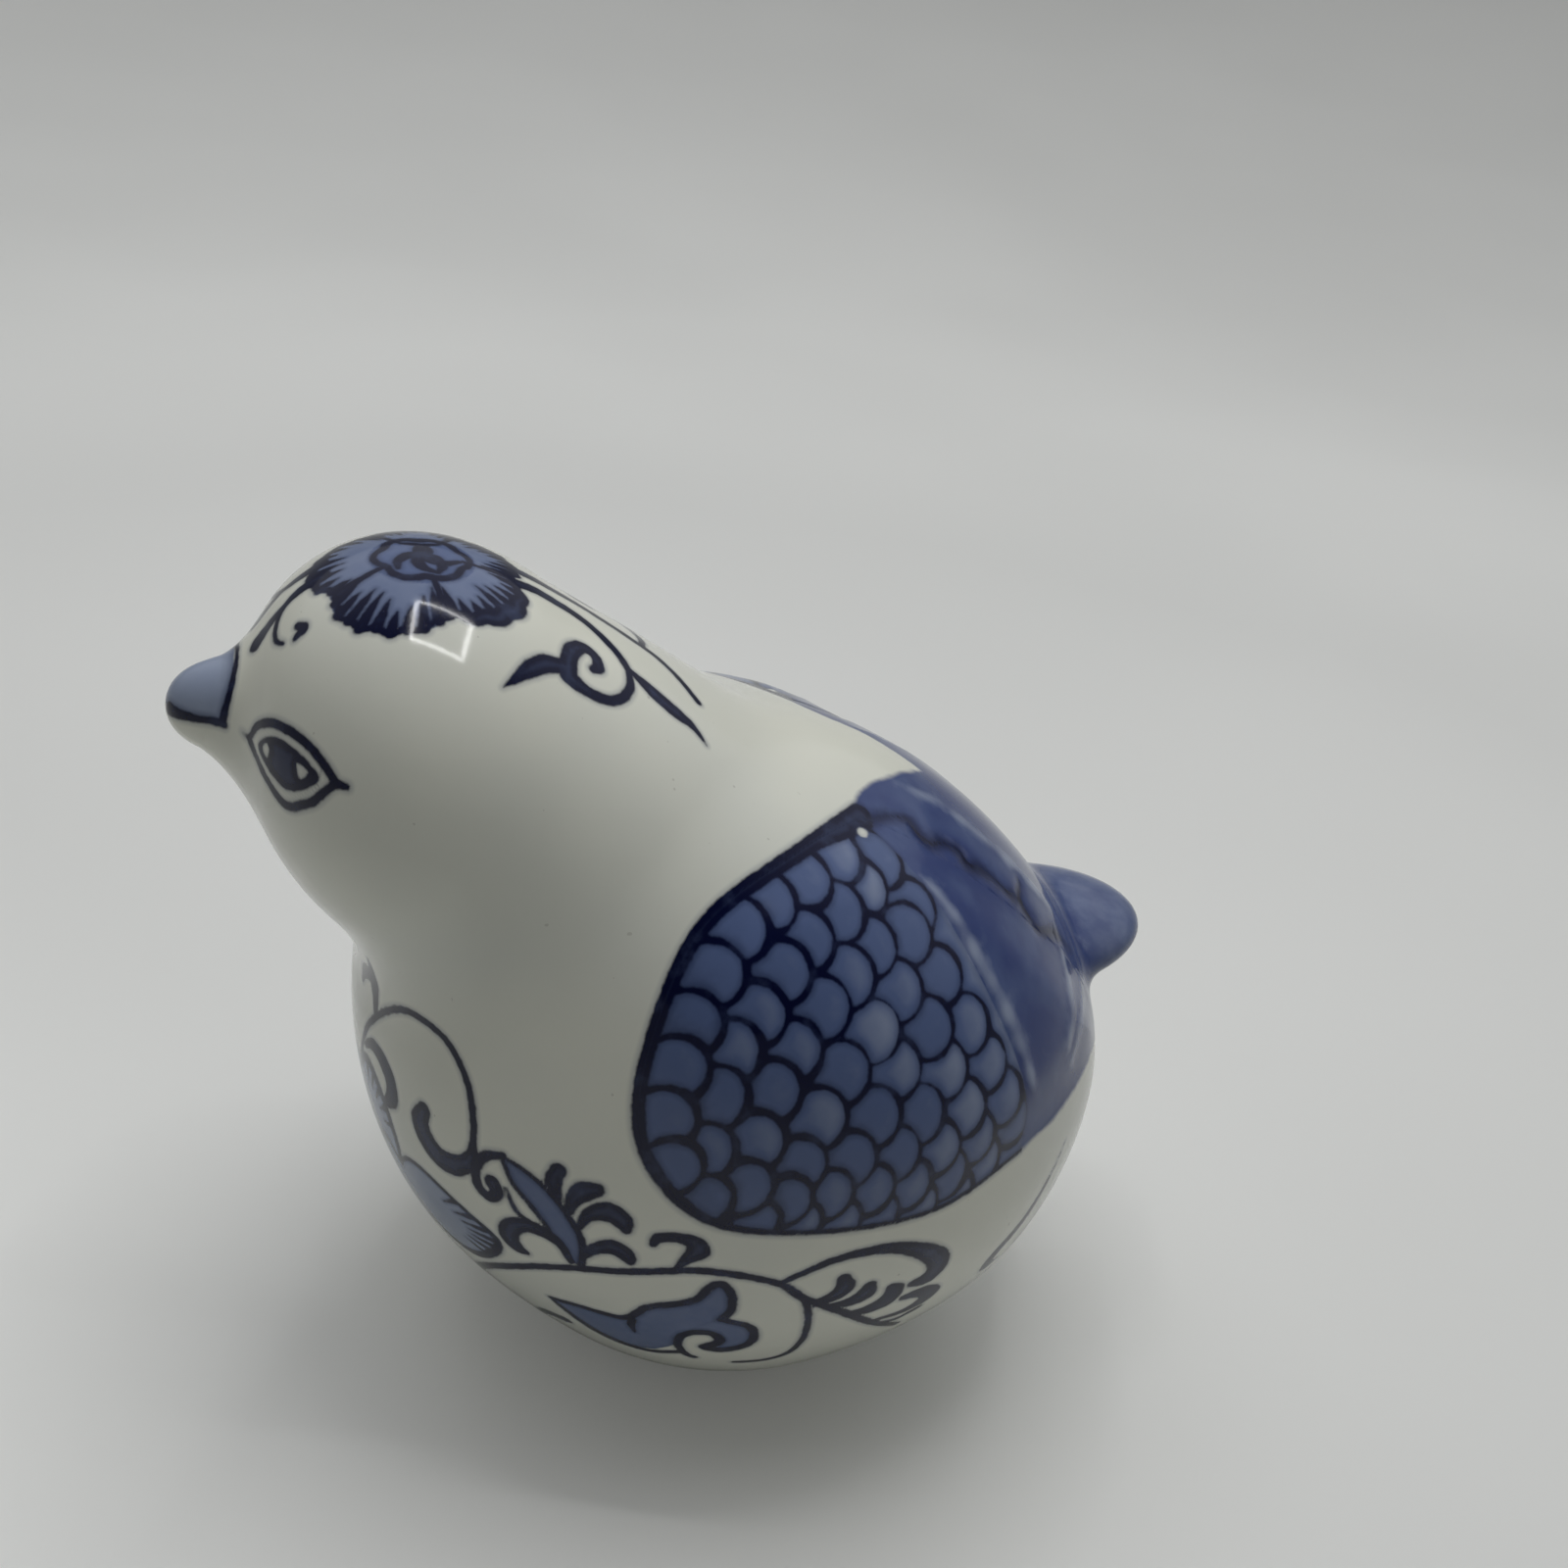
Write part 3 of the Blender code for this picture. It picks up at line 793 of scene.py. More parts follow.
@dataclass
class Bird:
    """Builds the visible skin of every casting from the form, the neck and the wings."""

    form: BirdForm = field(default_factory=BirdForm)
    neck: Neck = field(default_factory=Neck)
    wing: Wing = field(default_factory=Wing)
    foot_level: float = 0.8
    bore: float = 13.3
    gape_core: Place = (0.0, -43.0, 74.9)
    tail_core: Place = (0.0, 38.5, 45.0)

    def normals(self, points: Array, dressed: bool) -> Array:
        """Normals of the modelled skin, with the wings' relief or under it."""
        return slope_of(lambda at: self.form.figure(at) - self.wing.height(at, dressed), points)

    def body(self, side: int) -> Grid:
        """Skin of one half of breast, belly and back, from the neck to the bore of the foot.

        Directions from the belly's centre swing from the neck's loop down to the foot's edge;
        a flat ring and the wall of the bore follow, and a hidden lip reaches up into the neck.

        Args:
            side: +1 for the left half, -1 for the right.

        Returns:
            The grid of the half.
        """
        turn = np.radians(np.linspace(-90.0, 90.0, 296))
        loop = self.neck.loop(self.form, turn)
        centre = np.array(self.form.belly.centre)
        ring = np.stack([np.cos(turn), np.sin(turn), np.zeros_like(turn)], axis=1)
        hub = np.array([0.0, centre[1], self.foot_level])
        sole = reach_skin(self.form.figure, hub, ring)
        rays = sweep(unit(loop - centre), unit(sole - centre), np.linspace(0.0, 1.0, 320))
        skin = reach_skin(
            self.form.figure, centre, rays.reshape(-1, 3), lambda at: self.wing.height(at, False)
        ).reshape(rays.shape)
        normals = self.normals(skin.reshape(-1, 3), False).reshape(rays.shape)
        inner = loop + unit(np.array(self.neck.middle) - loop) * self.neck.lip
        lip = np.stack([inner - normals[0] * 0.2, inner])
        bore = hub + ring * self.bore
        flat = sole + (bore - sole) * np.linspace(0.01, 1.0, 6)[:, None, None]
        rise = bore + np.array([0.0, 0.0, 1.8]) * np.linspace(0.05, 1.0, 3)[:, None, None]
        down = np.broadcast_to(np.array([0.0, 0.0, -1.0]), flat.shape)
        points = np.concatenate([lip[:1], skin, flat, rise])
        facing = np.concatenate([normals[:1], normals, down, np.broadcast_to(-ring, rise.shape)])
        mirror = np.array([side, 1.0, 1.0])
        return Grid(points * mirror, facing * mirror, wraps=False)

    def head(self) -> Grid:
        """Skin of the head and nape: directions swing from the neck's loop to the crown."""
        loop = self.neck.loop(self.form, np.linspace(0.0, 2.0 * math.pi, 364, endpoint=False))
        centre = np.array(self.form.head.centre)
        crown = unit(np.array([0.0, -0.2, 1.0]))
        rays = sweep(unit(loop - centre), crown, np.linspace(0.0, 1.0, 272))
        skin = reach_skin(self.form.figure, centre, rays.reshape(-1, 3))
        normals = slope_of(self.form.figure, skin)
        return Grid(skin.reshape(rays.shape), normals.reshape(rays.shape), last_pole=True)

    def bud(self, skin: Field, core: Place, axis: Place, turns: Spot, opening: float, size: tuple[int, int]) -> Grid:
        """Skin of a form that juts out of the figure, by rays fanned about its axis.

        Args:
            skin: Field of the figure with that form flared into it.
            core: Start of the rays.
            axis: Unit direction of the form.
            turns: First and last angle about the axis, in degrees; 0 is towards +X.
            opening: Largest angle from the axis, in degrees.
            size: Number of rows and columns.

        Returns:
            The grid, with a pole at the tip and its rim dipped under the figure.
        """
        closed = abs(turns[1] - turns[0]) > 359.0
        turn = np.radians(np.linspace(turns[0], turns[1], size[1], endpoint=not closed))
        lean = np.radians(np.linspace(0.0, 1.0, size[0]) ** 0.8 * opening)
        ring = np.stack([np.cos(turn), np.zeros_like(turn), np.sin(turn)], axis=1)
        rays = np.cos(lean)[:, None, None] * np.array(axis) + np.sin(lean)[:, None, None] * ring
        flat = reach_skin(skin, np.array(core), rays.reshape(-1, 3))
        normals = slope_of(skin, flat).reshape(rays.shape)
        points = flat.reshape(rays.shape) + normals * 0.004
        points[-1] -= normals[-1] * 0.12
        return Grid(points, normals, wraps=closed, first_pole=True)

    def bill(self, upper: bool) -> Grid:
        """Skin of the upper or lower bill, which meet in the gape's plane."""
        turns = (0.0, 180.0) if upper else (180.0, 360.0)
        return self.bud(self.form.beaked, self.gape_core, (0.0, -1.0, 0.0), turns, 101.0, (130, 170))

    def tail(self) -> Grid:
        """Skin of the tail's tongue."""
        return self.bud(self.form.tailed, self.tail_core, (0.0, 1.0, 0.0), (0.0, 360.0), 104.0, (130, 240))

    def wing_patch(self, outline: Array, hub: Spot, side: int, size: tuple[int, int]) -> Grid:
        """Skin of one wing piece: its outline drawn in to a hub and carried onto the figure.

        Args:
            outline: Closed outline in the wing's view.
            hub: Spot from which the whole outline is seen.
            side: +1 for the left wing, -1 for the right.
            size: Rows from the hub to the outline, and columns round it.

        Returns:
            The grid, lifted a little over the body's skin.
        """
        rings, count = size
        closed = evenly(np.vstack([outline, outline[:1]]), count + 1)[:-1]
        share = np.linspace(0.0, 1.0, rings)[:, None, None]
        flat = (np.array(hub) + (closed - np.array(hub)) * share).reshape(-1, 2)
        outward, upward = self.wing.axes()
        starts = np.array(self.wing.centre) + flat[:, :1] * np.array([0.0, 1.0, 0.0]) + flat[:, 1:] * upward
        rays = np.broadcast_to(outward, starts.shape)
        skin = reach_skin(self.form.figure, starts + outward * 8.0, rays, lambda at: self.wing.height(at, True) + 0.006)
        mirror = np.array([side, 1.0, 1.0])
        shape = (rings, count, 3)
        normals = self.normals(skin, True)
        return Grid((skin * mirror).reshape(shape), (normals * mirror).reshape(shape), first_pole=True)

    def foot(self) -> Grid:
        """The turned foot plate: a closed profile of radius and height carried round its axis."""
        corners = ((13.0, 2.6), (13.0, 0.4), (12.6, 0.0), (10.4, 0.0), (10.0, 0.4), (10.0, 1.0), (2.8, 1.0), (2.5, 1.3), (2.5, 2.6))
        profile = np.array((*corners, corners[0]))
        loop = evenly(profile, 150)[:-1]
        along = np.roll(loop, -1, axis=0) - np.roll(loop, 1, axis=0)
        facing = unit(np.stack([along[:, 1], -along[:, 0]], axis=1)) * -1.0
        turn = np.linspace(0.0, 2.0 * math.pi, 180, endpoint=False)
        ring = np.stack([np.cos(turn), np.sin(turn)], axis=1)

        def spin(pairs: Array) -> Array:
            return np.concatenate([pairs[:, None, :1] * ring, np.broadcast_to(pairs[:, None, 1:], (len(pairs), len(turn), 1))], axis=2)

        points = spin(loop) + np.array([0.0, self.form.belly.centre[1], 0.0])
        points = np.swapaxes(points, 0, 1)
        normals = np.swapaxes(spin(facing), 0, 1)
        return Grid(points, normals, rings=True)


@dataclass(frozen=True)
class CrownPeony:
    """Peony on the crown, with a scrolling stem down each side of the nape."""

    centre: Spot = (1.5, -30.6)
    petals: tuple[tuple[float, float, float], ...] = (
        (46.0, 9.5, 38.0),
        (117.0, 9.0, 33.5),
        (180.0, 9.2, 31.0),
        (254.0, 9.6, 44.0),
        (333.0, 10.3, 36.0),
    )
    rims: tuple[float, ...] = (2.0, 1.0, 1.0, 1.0, 0.8)
    fringe: tuple[float, ...] = (2.6, 2.2, 2.2, 2.2, 2.9)
    seams: tuple[Spot, ...] = ((0.5, 0.7), (0.6, 0.8), (0.6, 0.8), (0.8, 1.5), (0.7, 1.9))
    rosette: float = 3.6

    def spot(self, angle: Array, radius: Array) -> Array:
        """Places at angles, in degrees, and radii about the flower's centre."""
        turn = np.radians(angle)
        return np.stack([self.centre[0] + radius * np.cos(turn), self.centre[1] + radius * np.sin(turn)], axis=-1)

    def rim(self, petal: tuple[float, float, float], share: Array) -> Array:
        """Radius of a petal's scalloped edge, rounded off to both sides."""
        scallop = 0.35 * np.abs(np.sin(2.5 * math.pi * share))
        return petal[1] * (1.0 - 0.16 * np.abs(share) ** 2.5) - 0.35 + scallop

    def marks(self) -> tuple[list[Stroke], list[Patch]]:
        """Strokes and washes of petals, fringe and rosette."""
        strokes: list[Stroke] = []
        patches: list[Patch] = []
        for petal, thick, deep, seam in zip(self.petals, self.rims, self.fringe, self.seams):
            angle, _, half = petal
            share = np.linspace(-1.0, 1.0, 21)
            edge = self.spot(angle + half * share, self.rim(petal, share))
            wide = self.spot(angle + (half + 5.0) * share, self.rim(petal, share))
            patches.append(Patch(tuple(map(tuple, np.vstack([wide, self.centre]))), paired=False, smooth=False, tone=-0.75))
            strokes.append(Stroke(tuple(map(tuple, edge[::2])), (0.6, thick, thick, 0.6), paired=False))
            for place in np.linspace(-0.88, 0.88, 9):
                length = deep * (1.0 + 0.3 * math.sin(23.0 * place + angle))
                outer = self.rim(petal, np.array(place))
                ends = self.spot(np.full(3, angle + half * place * 0.97), outer - np.array([0.0, 0.5, 1.0]) * length)
                strokes.append(Stroke(tuple(map(tuple, ends)), (1.2, 0.85, 0.2), paired=False))
            side = self.spot(np.full(3, angle + half), np.array([self.rosette, 6.0, 8.2]))
            strokes.append(Stroke(tuple(map(tuple, side)), (0.6, *seam), paired=False))
        turn = np.linspace(0.0, 360.0, 41)
        frill = self.rosette + 0.55 * np.abs(np.sin(np.radians(turn * 3.0)))
        strokes.append(Stroke(tuple(map(tuple, self.spot(turn, frill))), (1.0, 0.7, 1.2, 0.7, 1.0), paired=False))
        disc = self.spot(turn[:-1], np.full(40, self.rosette + 0.6))
        patches.append(Patch(tuple(map(tuple, disc)), paired=False, smooth=False, tone=-0.3))
        for angle, lean in ((20.0, 60.0), (140.0, 70.0), (260.0, 55.0), (80.0, -60.0), (200.0, -50.0), (320.0, 60.0)):
            curl = self.spot(angle + np.linspace(0.0, lean, 4), np.array([0.4, 1.4, 2.4, 3.2]))
            strokes.append(Stroke(tuple(map(tuple, curl)), (1.5, 1.2, 0.6), paired=False))
        return strokes, patches

    def motif(self) -> Motif:
        """The whole drawing on the crown and nape, seen from above."""
        strokes, patches = self.marks()
        strokes += [
            Stroke(((2.4, -22.2), (1.8, -20.4), (1.6, -18.6), (1.8, -16.4), (3.0, -14.6), (5.0, -13.0), (6.8, -12.3)), (1.6, 1.5, 1.3, 1.0), False),
            Stroke(((6.5, -12.2), (7.8, -10.2), (8.8, -8.2), (9.4, -6.6), (10.8, -5.4)), (0.9, 1.8, 1.8, 1.1, 0.3), False),
            Stroke(((6.5, -12.3), (9.0, -12.7), (10.8, -13.9), (11.7, -15.5), (11.8, -17.4), (11.3, -18.9)), (0.9, 1.1, 1.2, 1.3, 2.0), False),
            Stroke(((11.2, -18.8), (9.8, -18.6), (8.2, -18.0), (7.0, -16.9), (7.2, -15.8), (8.5, -15.6), (9.2, -16.3)), (2.1, 1.9, 1.9, 1.5, 1.3, 1.4, 0.9), False),
            Stroke(((10.6, -19.0), (11.4, -20.8), (12.6, -22.3), (14.0, -23.8), (15.1, -25.1)), (1.6, 2.0, 1.9, 1.0, 0.1), False),
            Stroke(((-0.8, -21.6), (-1.6, -18.8), (-2.0, -16.0), (-1.4, -13.2), (-0.6, -10.8), (0.4, -8.4), (2.4, -6.6), (5.2, -5.0)), (1.5, 1.3, 1.1, 1.0, 0.9), False),
            Stroke(((-0.4, -9.6), (-2.4, -9.2), (-4.8, -9.8), (-7.0, -11.4), (-8.0, -13.6), (-7.0, -15.6), (-5.2, -15.6), (-4.8, -14.0)), (0.8, 1.1, 1.6, 1.5, 1.1), False),
            Stroke(((-7.6, -12.0), (-9.6, -13.6), (-11.2, -16.2), (-12.4, -19.4)), (0.9, 1.8, 1.6, 0.1), False),
            Stroke(((1.4, -39.2), (1.4, -40.8), (1.8, -42.2), (3.2, -43.0), (5.0, -43.1), (6.3, -42.5)), (1.9, 1.3, 0.8, 0.7, 0.4)),
            Stroke(((5.9, -41.3), (6.7, -40.9), (7.0, -41.5)), (0.8, 1.3, 0.8)),
            Stroke(((1.8, -42.4), (2.2, -44.6)), (0.9, 1.9)),
        ]
        chart = FlatChart((0.0, 0.0, 74.0), (1.0, 0.0, 0.0), (0.0, 1.0, 0.0), (0.0, 0.0, 1.0), 1.0)
        return Motif(chart, strokes, patches)


@dataclass(frozen=True)
class FaceMarks:
    """Painted eyes, seen square on; the other one mirrors them."""

    centre: Place = (12.5, -42.3, 75.3)
    facing: Place = (0.62, -0.72, 0.31)

    def motif(self) -> Motif:
        """Lids, iris and the lights left white in it."""
        toward = unit(np.array(self.facing))
        upward = unit(np.array([0.0, 0.0, 1.0]) - toward * toward[2])
        across = np.cross(upward, toward)
        chart = FlatChart(self.centre, tuple(across), tuple(upward), tuple(toward), 6.0)
        strokes = [
            Stroke(((-7.0, 0.2), (-5.8, 0.1), (-4.7, 1.5), (-2.8, 2.5), (-0.9, 2.8), (1.2, 2.7), (2.8, 2.3), (4.1, 1.7), (5.2, 1.0), (6.0, 0.4), (7.0, 0.4)), (0.5, 0.85, 0.95, 0.9, 0.95, 0.7)),
            Stroke(((-5.8, 0.0), (-4.7, -0.9), (-3.3, -1.9), (-1.7, -2.8), (-0.1, -3.6), (1.2, -3.6), (2.8, -2.8), (4.1, -1.9), (5.0, -0.8), (5.8, 0.2)), (0.8, 0.85, 0.95, 0.9, 0.9)),
        ]
        iris = ((-4.1, 0.0), (-2.7, 1.3), (-0.5, 1.8), (2.3, 1.3), (4.3, 0.2), (2.9, -1.4), (0.5, -2.3), (-2.3, -1.4))
        near_light = ((-3.3, 0.1), (-2.7, 0.7), (-2.2, 0.3), (-2.5, -0.5))
        far_light = ((1.7, 0.5), (3.0, 0.2), (2.2, -0.7))
        patches = [Patch(iris, Ink.LINE), Patch(near_light, Ink.RESERVE), Patch(far_light, Ink.RESERVE)]
        return Motif(chart, strokes, patches)


@dataclass(frozen=True)
class BillMarks:
    """Slate wash and dark edges of the beak, drawn in profile."""

    gape: float = 74.9

    def motif(self) -> Motif:
        """Edge of the upper bill, line of the gape and the wash between them."""
        chart = FlatChart((0.0, 0.0, 0.0), (0.0, 1.0, 0.0), (0.0, 0.0, 1.0), (1.0, 0.0, 0.0), 1.0)
        strokes = [
            Stroke(((-46.3, 80.0), (-46.7, 78.6), (-47.2, 77.0), (-47.7, 75.1)), (0.5, 0.7, 0.8, 0.9)),
            Stroke(((-47.6, 75.0), (-49.0, 74.9), (-50.6, 74.9), (-52.2, 74.9)), (0.9, 0.7, 0.9, 1.4)),
        ]
        wash = ((-46.4, 81.0), (-46.7, 78.6), (-47.2, 77.0), (-47.7, 75.0), (-54.0, 75.0), (-54.0, 82.0))
        return Motif(chart, strokes, [Patch(wash, smooth=False, tone=-1.5)])


@dataclass(frozen=True)
class BreastVine:
    """Scrolling vine round the breast and belly: sweep in degrees from the front, and height."""

    axis_y: float = 4.6

    def scrolls(self) -> list[Stroke]:
        """Tendrils on the breast and the stem that runs along the side."""
        return [
            Stroke(((8.0, 37.0), (10.3, 41.0), (11.9, 43.5), (15.0, 46.3), (19.0, 49.0), (23.0, 50.8), (27.0, 51.3), (31.0, 50.8), (34.2, 49.0), (36.2, 47.0), (37.3, 44.5), (37.7, 42.0)), (0.8, 0.8, 0.8, 0.9)),
            Stroke(((37.7, 42.0), (37.4, 40.0), (35.4, 38.3), (32.2, 37.6), (29.4, 38.6), (28.0, 40.3), (28.7, 42.0)), (0.9, 1.8, 2.7, 2.9, 2.9, 1.9)),
            Stroke(((14.5, 46.0), (14.3, 50.0), (15.0, 53.3)), (0.8, 2.2, 0.3)),
            Stroke(((13.0, 50.5), (10.5, 49.5), (8.5, 47.5)), (2.0, 1.5, 0.6)),
            Stroke(((11.5, 41.2), (14.5, 42.7), (17.8, 42.7), (20.4, 41.6), (21.0, 39.8), (19.4, 38.2)), (0.7, 1.4, 2.0, 2.4, 2.4, 1.3)),
            Stroke(
                ((30.3, 18.5), (34.2, 21.5), (38.2, 24.0), (43.0, 26.5), (47.8, 28.5), (53.3, 30.0), (59.7, 31.0), (65.3, 32.0), (70.0, 32.8), (74.8, 32.9), (79.6, 32.5), (83.6, 31.5), (86.8, 29.5), (88.3, 27.0), (89.1, 24.0), (89.3, 21.0), (88.0, 18.0), (84.4, 16.5), (79.6, 16.0)),
                (1.1, 1.0, 1.0, 0.8, 0.8),
            ),
            Stroke(((67.6, 32.8), (68.8, 34.2), (70.2, 35.5), (69.4, 36.5), (67.0, 36.8), (64.4, 36.4), (63.8, 35.5)), (0.7, 1.3, 2.4, 1.8, 1.3, 1.3, 0.8)),
        ]

    def leaves(self) -> list[Stroke]:
        """Outlines and commas of the feathered leaf and of the tulip leaf."""
        return [
            Stroke(((53.6, 30.4), (54.0, 32.4), (53.7, 34.4), (52.5, 36.3), (50.4, 38.4), (47.8, 40.2), (45.0, 41.3), (42.2, 42.0)), (0.9, 0.8, 0.6, 0.5)),
            Stroke(((52.2, 30.6), (50.0, 33.4), (48.2, 35.6), (46.2, 37.4), (43.8, 39.2), (42.0, 41.8)), (0.6, 0.6, 0.6, 0.5)),
            Stroke(((48.8, 34.6), (46.6, 34.8), (44.4, 35.8), (42.9, 38.2)), (0.6, 0.7, 0.7, 0.4)),
            Stroke(((42.2, 42.0), (39.7, 41.2), (38.3, 39.3), (38.5, 37.1), (40.2, 36.2), (41.5, 37.1), (40.8, 38.3)), (0.9, 1.2, 1.2, 1.3, 1.5, 1.8)),
            Stroke(((52.2, 30.8), (50.6, 33.0), (48.4, 34.0), (45.6, 34.2), (43.4, 33.1), (42.8, 31.5), (43.8, 30.3), (45.2, 29.9)), (0.8, 1.2, 1.7, 2.2, 2.4, 2.0, 0.9)),
            Stroke(((50.4, 38.8), (49.4, 40.8), (49.8, 42.2)), (0.7, 1.8, 1.7)),
            Stroke(((52.0, 37.6), (52.3, 39.2), (53.5, 40.4), (55.2, 40.9)), (0.8, 1.7, 2.4, 1.7)),
            Stroke(((53.4, 36.0), (54.5, 37.7), (57.0, 38.6), (59.2, 37.8), (59.8, 36.8)), (0.7, 1.6, 2.5, 2.1, 1.2)),
            Stroke(((54.0, 31.8), (55.5, 33.4), (58.0, 34.2), (60.2, 33.4), (60.8, 32.6)), (0.7, 1.5, 2.1, 1.8, 1.0)),
            Stroke(((47.4, 22.3), (52.5, 22.8), (57.0, 22.8), (60.5, 23.2), (63.7, 26.0), (67.7, 27.3), (70.8, 28.5), (72.8, 30.8), (74.4, 31.3), (76.0, 30.0), (76.4, 27.5), (75.2, 25.8)), (0.7, 1.0, 1.0, 1.0)),
            Stroke(((61.4, 23.0), (61.2, 21.8), (61.7, 20.4)), (0.9, 0.9, 0.3)),
            Stroke(((75.2, 25.8), (79.6, 24.8), (81.0, 22.8), (80.0, 20.8), (76.4, 19.5), (73.6, 19.9), (75.2, 21.0), (75.6, 22.0), (74.0, 23.0), (71.2, 22.8), (69.3, 21.5), (69.1, 19.5), (70.5, 17.5), (72.0, 16.8)), (0.9, 1.1, 1.4, 1.1, 1.0, 0.9)),
            Stroke(((47.4, 22.3), (50.0, 20.0), (54.0, 17.5), (58.9, 16.3), (64.5, 16.4), (69.0, 17.6)), (0.6, 1.1, 0.9)),
            Stroke(((47.8, 17.0), (43.8, 16.5), (39.8, 13.5)), (1.8, 1.6, 0.4)),
        ]

    def cluster(self) -> list[Stroke]:
        """Loop and commas under the end of the wing, and a last comma near the tail."""
        return [
            Stroke(((82.8, 32.0), (86.0, 33.4), (90.0, 34.8), (95.0, 35.4), (100.0, 35.0), (104.5, 33.6), (107.8, 31.8), (108.8, 29.9), (107.4, 28.7), (105.0, 28.6)), (0.7, 0.9, 1.1, 1.5, 2.2, 2.8, 2.5, 1.2)),
            Stroke(((83.6, 31.5), (86.8, 29.6), (91.6, 27.5), (95.5, 25.6), (100.3, 22.9), (105.1, 20.6), (108.3, 19.2)), (1.0, 1.1, 0.8)),
            Stroke(((88.8, 28.9), (91.2, 29.3), (92.9, 30.6), (92.3, 32.0)), (0.6, 1.7, 2.2, 1.5)),
            Stroke(((91.5, 28.0), (94.4, 28.0), (96.7, 29.0), (97.0, 30.2)), (0.6, 1.6, 2.3, 1.5)),
            Stroke(((95.0, 25.9), (98.5, 25.9), (101.2, 26.8), (101.9, 28.3), (101.0, 29.1)), (0.7, 1.8, 2.6, 2.3, 1.2)),
            Stroke(((101.4, 23.0), (106.0, 22.9), (109.4, 23.9), (110.2, 25.2), (108.0, 26.2), (104.6, 26.3)), (0.6, 1.0, 2.0, 2.5, 2.0, 1.1)),
            Stroke(((102.4, 21.9), (106.4, 21.3), (110.2, 22.4)), (0.6, 0.8, 0.8)),
            Stroke(((137.0, 36.5), (132.5, 33.0), (128.0, 29.4), (123.6, 26.6), (123.0, 24.5), (125.4, 24.0)), (0.2, 0.7, 1.2, 1.6, 1.8, 1.0)),
        ]

    def blossom(self) -> tuple[list[Stroke], list[Patch]]:
        """The low blossom on the breast: washed petals with fringed edges."""
        strokes = [
            Stroke(((8.0, 37.5), (11.0, 39.4), (14.5, 39.6), (18.5, 37.6), (20.9, 33.8), (20.4, 30.6)), (0.7, 1.1, 1.2, 0.9, 0.7)),
            Stroke(((20.0, 30.4), (23.5, 33.0), (28.0, 33.7), (34.0, 32.6), (40.2, 30.2), (39.4, 27.4), (34.5, 24.2), (28.0, 23.2), (23.0, 24.4)), (0.5, 0.6, 0.6, 1.2, 1.0, 0.5)),
            Stroke(((13.0, 30.5), (16.5, 32.0), (20.4, 30.6)), (0.5, 0.8, 0.6)),
            Stroke(((0.0, 36.4), (4.0, 37.4), (8.0, 37.5)), (0.8, 0.9, 0.8)),
            Stroke(((0.0, 24.0), (7.0, 24.6), (12.0, 27.0), (13.0, 30.5), (9.0, 33.4), (4.0, 33.0)), (0.6, 0.9, 0.8, 0.5)),
            Stroke(((23.0, 24.4), (20.0, 20.5), (13.0, 18.5), (6.0, 19.2), (0.0, 20.0)), (0.6, 1.0, 1.1, 0.8)),
            Stroke(((0.0, 31.4), (2.8, 30.7), (3.9, 29.1), (2.8, 27.5), (0.0, 26.8)), (0.7, 0.8, 0.7)),
            Stroke(((0.0, 31.8), (0.0, 34.0)), (0.9, 0.4)),
            Stroke(((3.2, 31.4), (5.8, 32.8)), (0.9, 0.4)),
            Stroke(((4.8, 30.0), (8.6, 31.0)), (0.9, 0.4)),
            Stroke(((4.8, 28.4), (8.6, 27.6)), (0.9, 0.4)),
            Stroke(((3.2, 26.9), (5.4, 25.6)), (0.9, 0.4)),
        ]
        for share in np.linspace(0.0, 1.0, 7):
            root = np.array([33.5, 32.4]) * (1 - share) + np.array([37.5, 25.8]) * share
            root = root + np.array([4.2, 0.3]) * math.sin(math.pi * share)
            tip = root * 0.66 + np.array([26.0, 28.4]) * 0.34
            strokes.append(Stroke((tuple(root), tuple(0.5 * (root + tip)), tuple(tip)), (0.8, 0.5, 0.12)))
        for share in np.linspace(0.1, 0.9, 5):
            root = np.array([11.0, 39.0]) * (1 - share) + np.array([20.6, 34.5]) * share
            root = root + np.array([0.6, 1.2]) * math.sin(math.pi * share)
            tip = root * 0.68 + np.array([12.0, 33.0]) * 0.32
            strokes.append(Stroke((tuple(root), tuple(0.5 * (root + tip)), tuple(tip)), (0.7, 0.45, 0.12)))
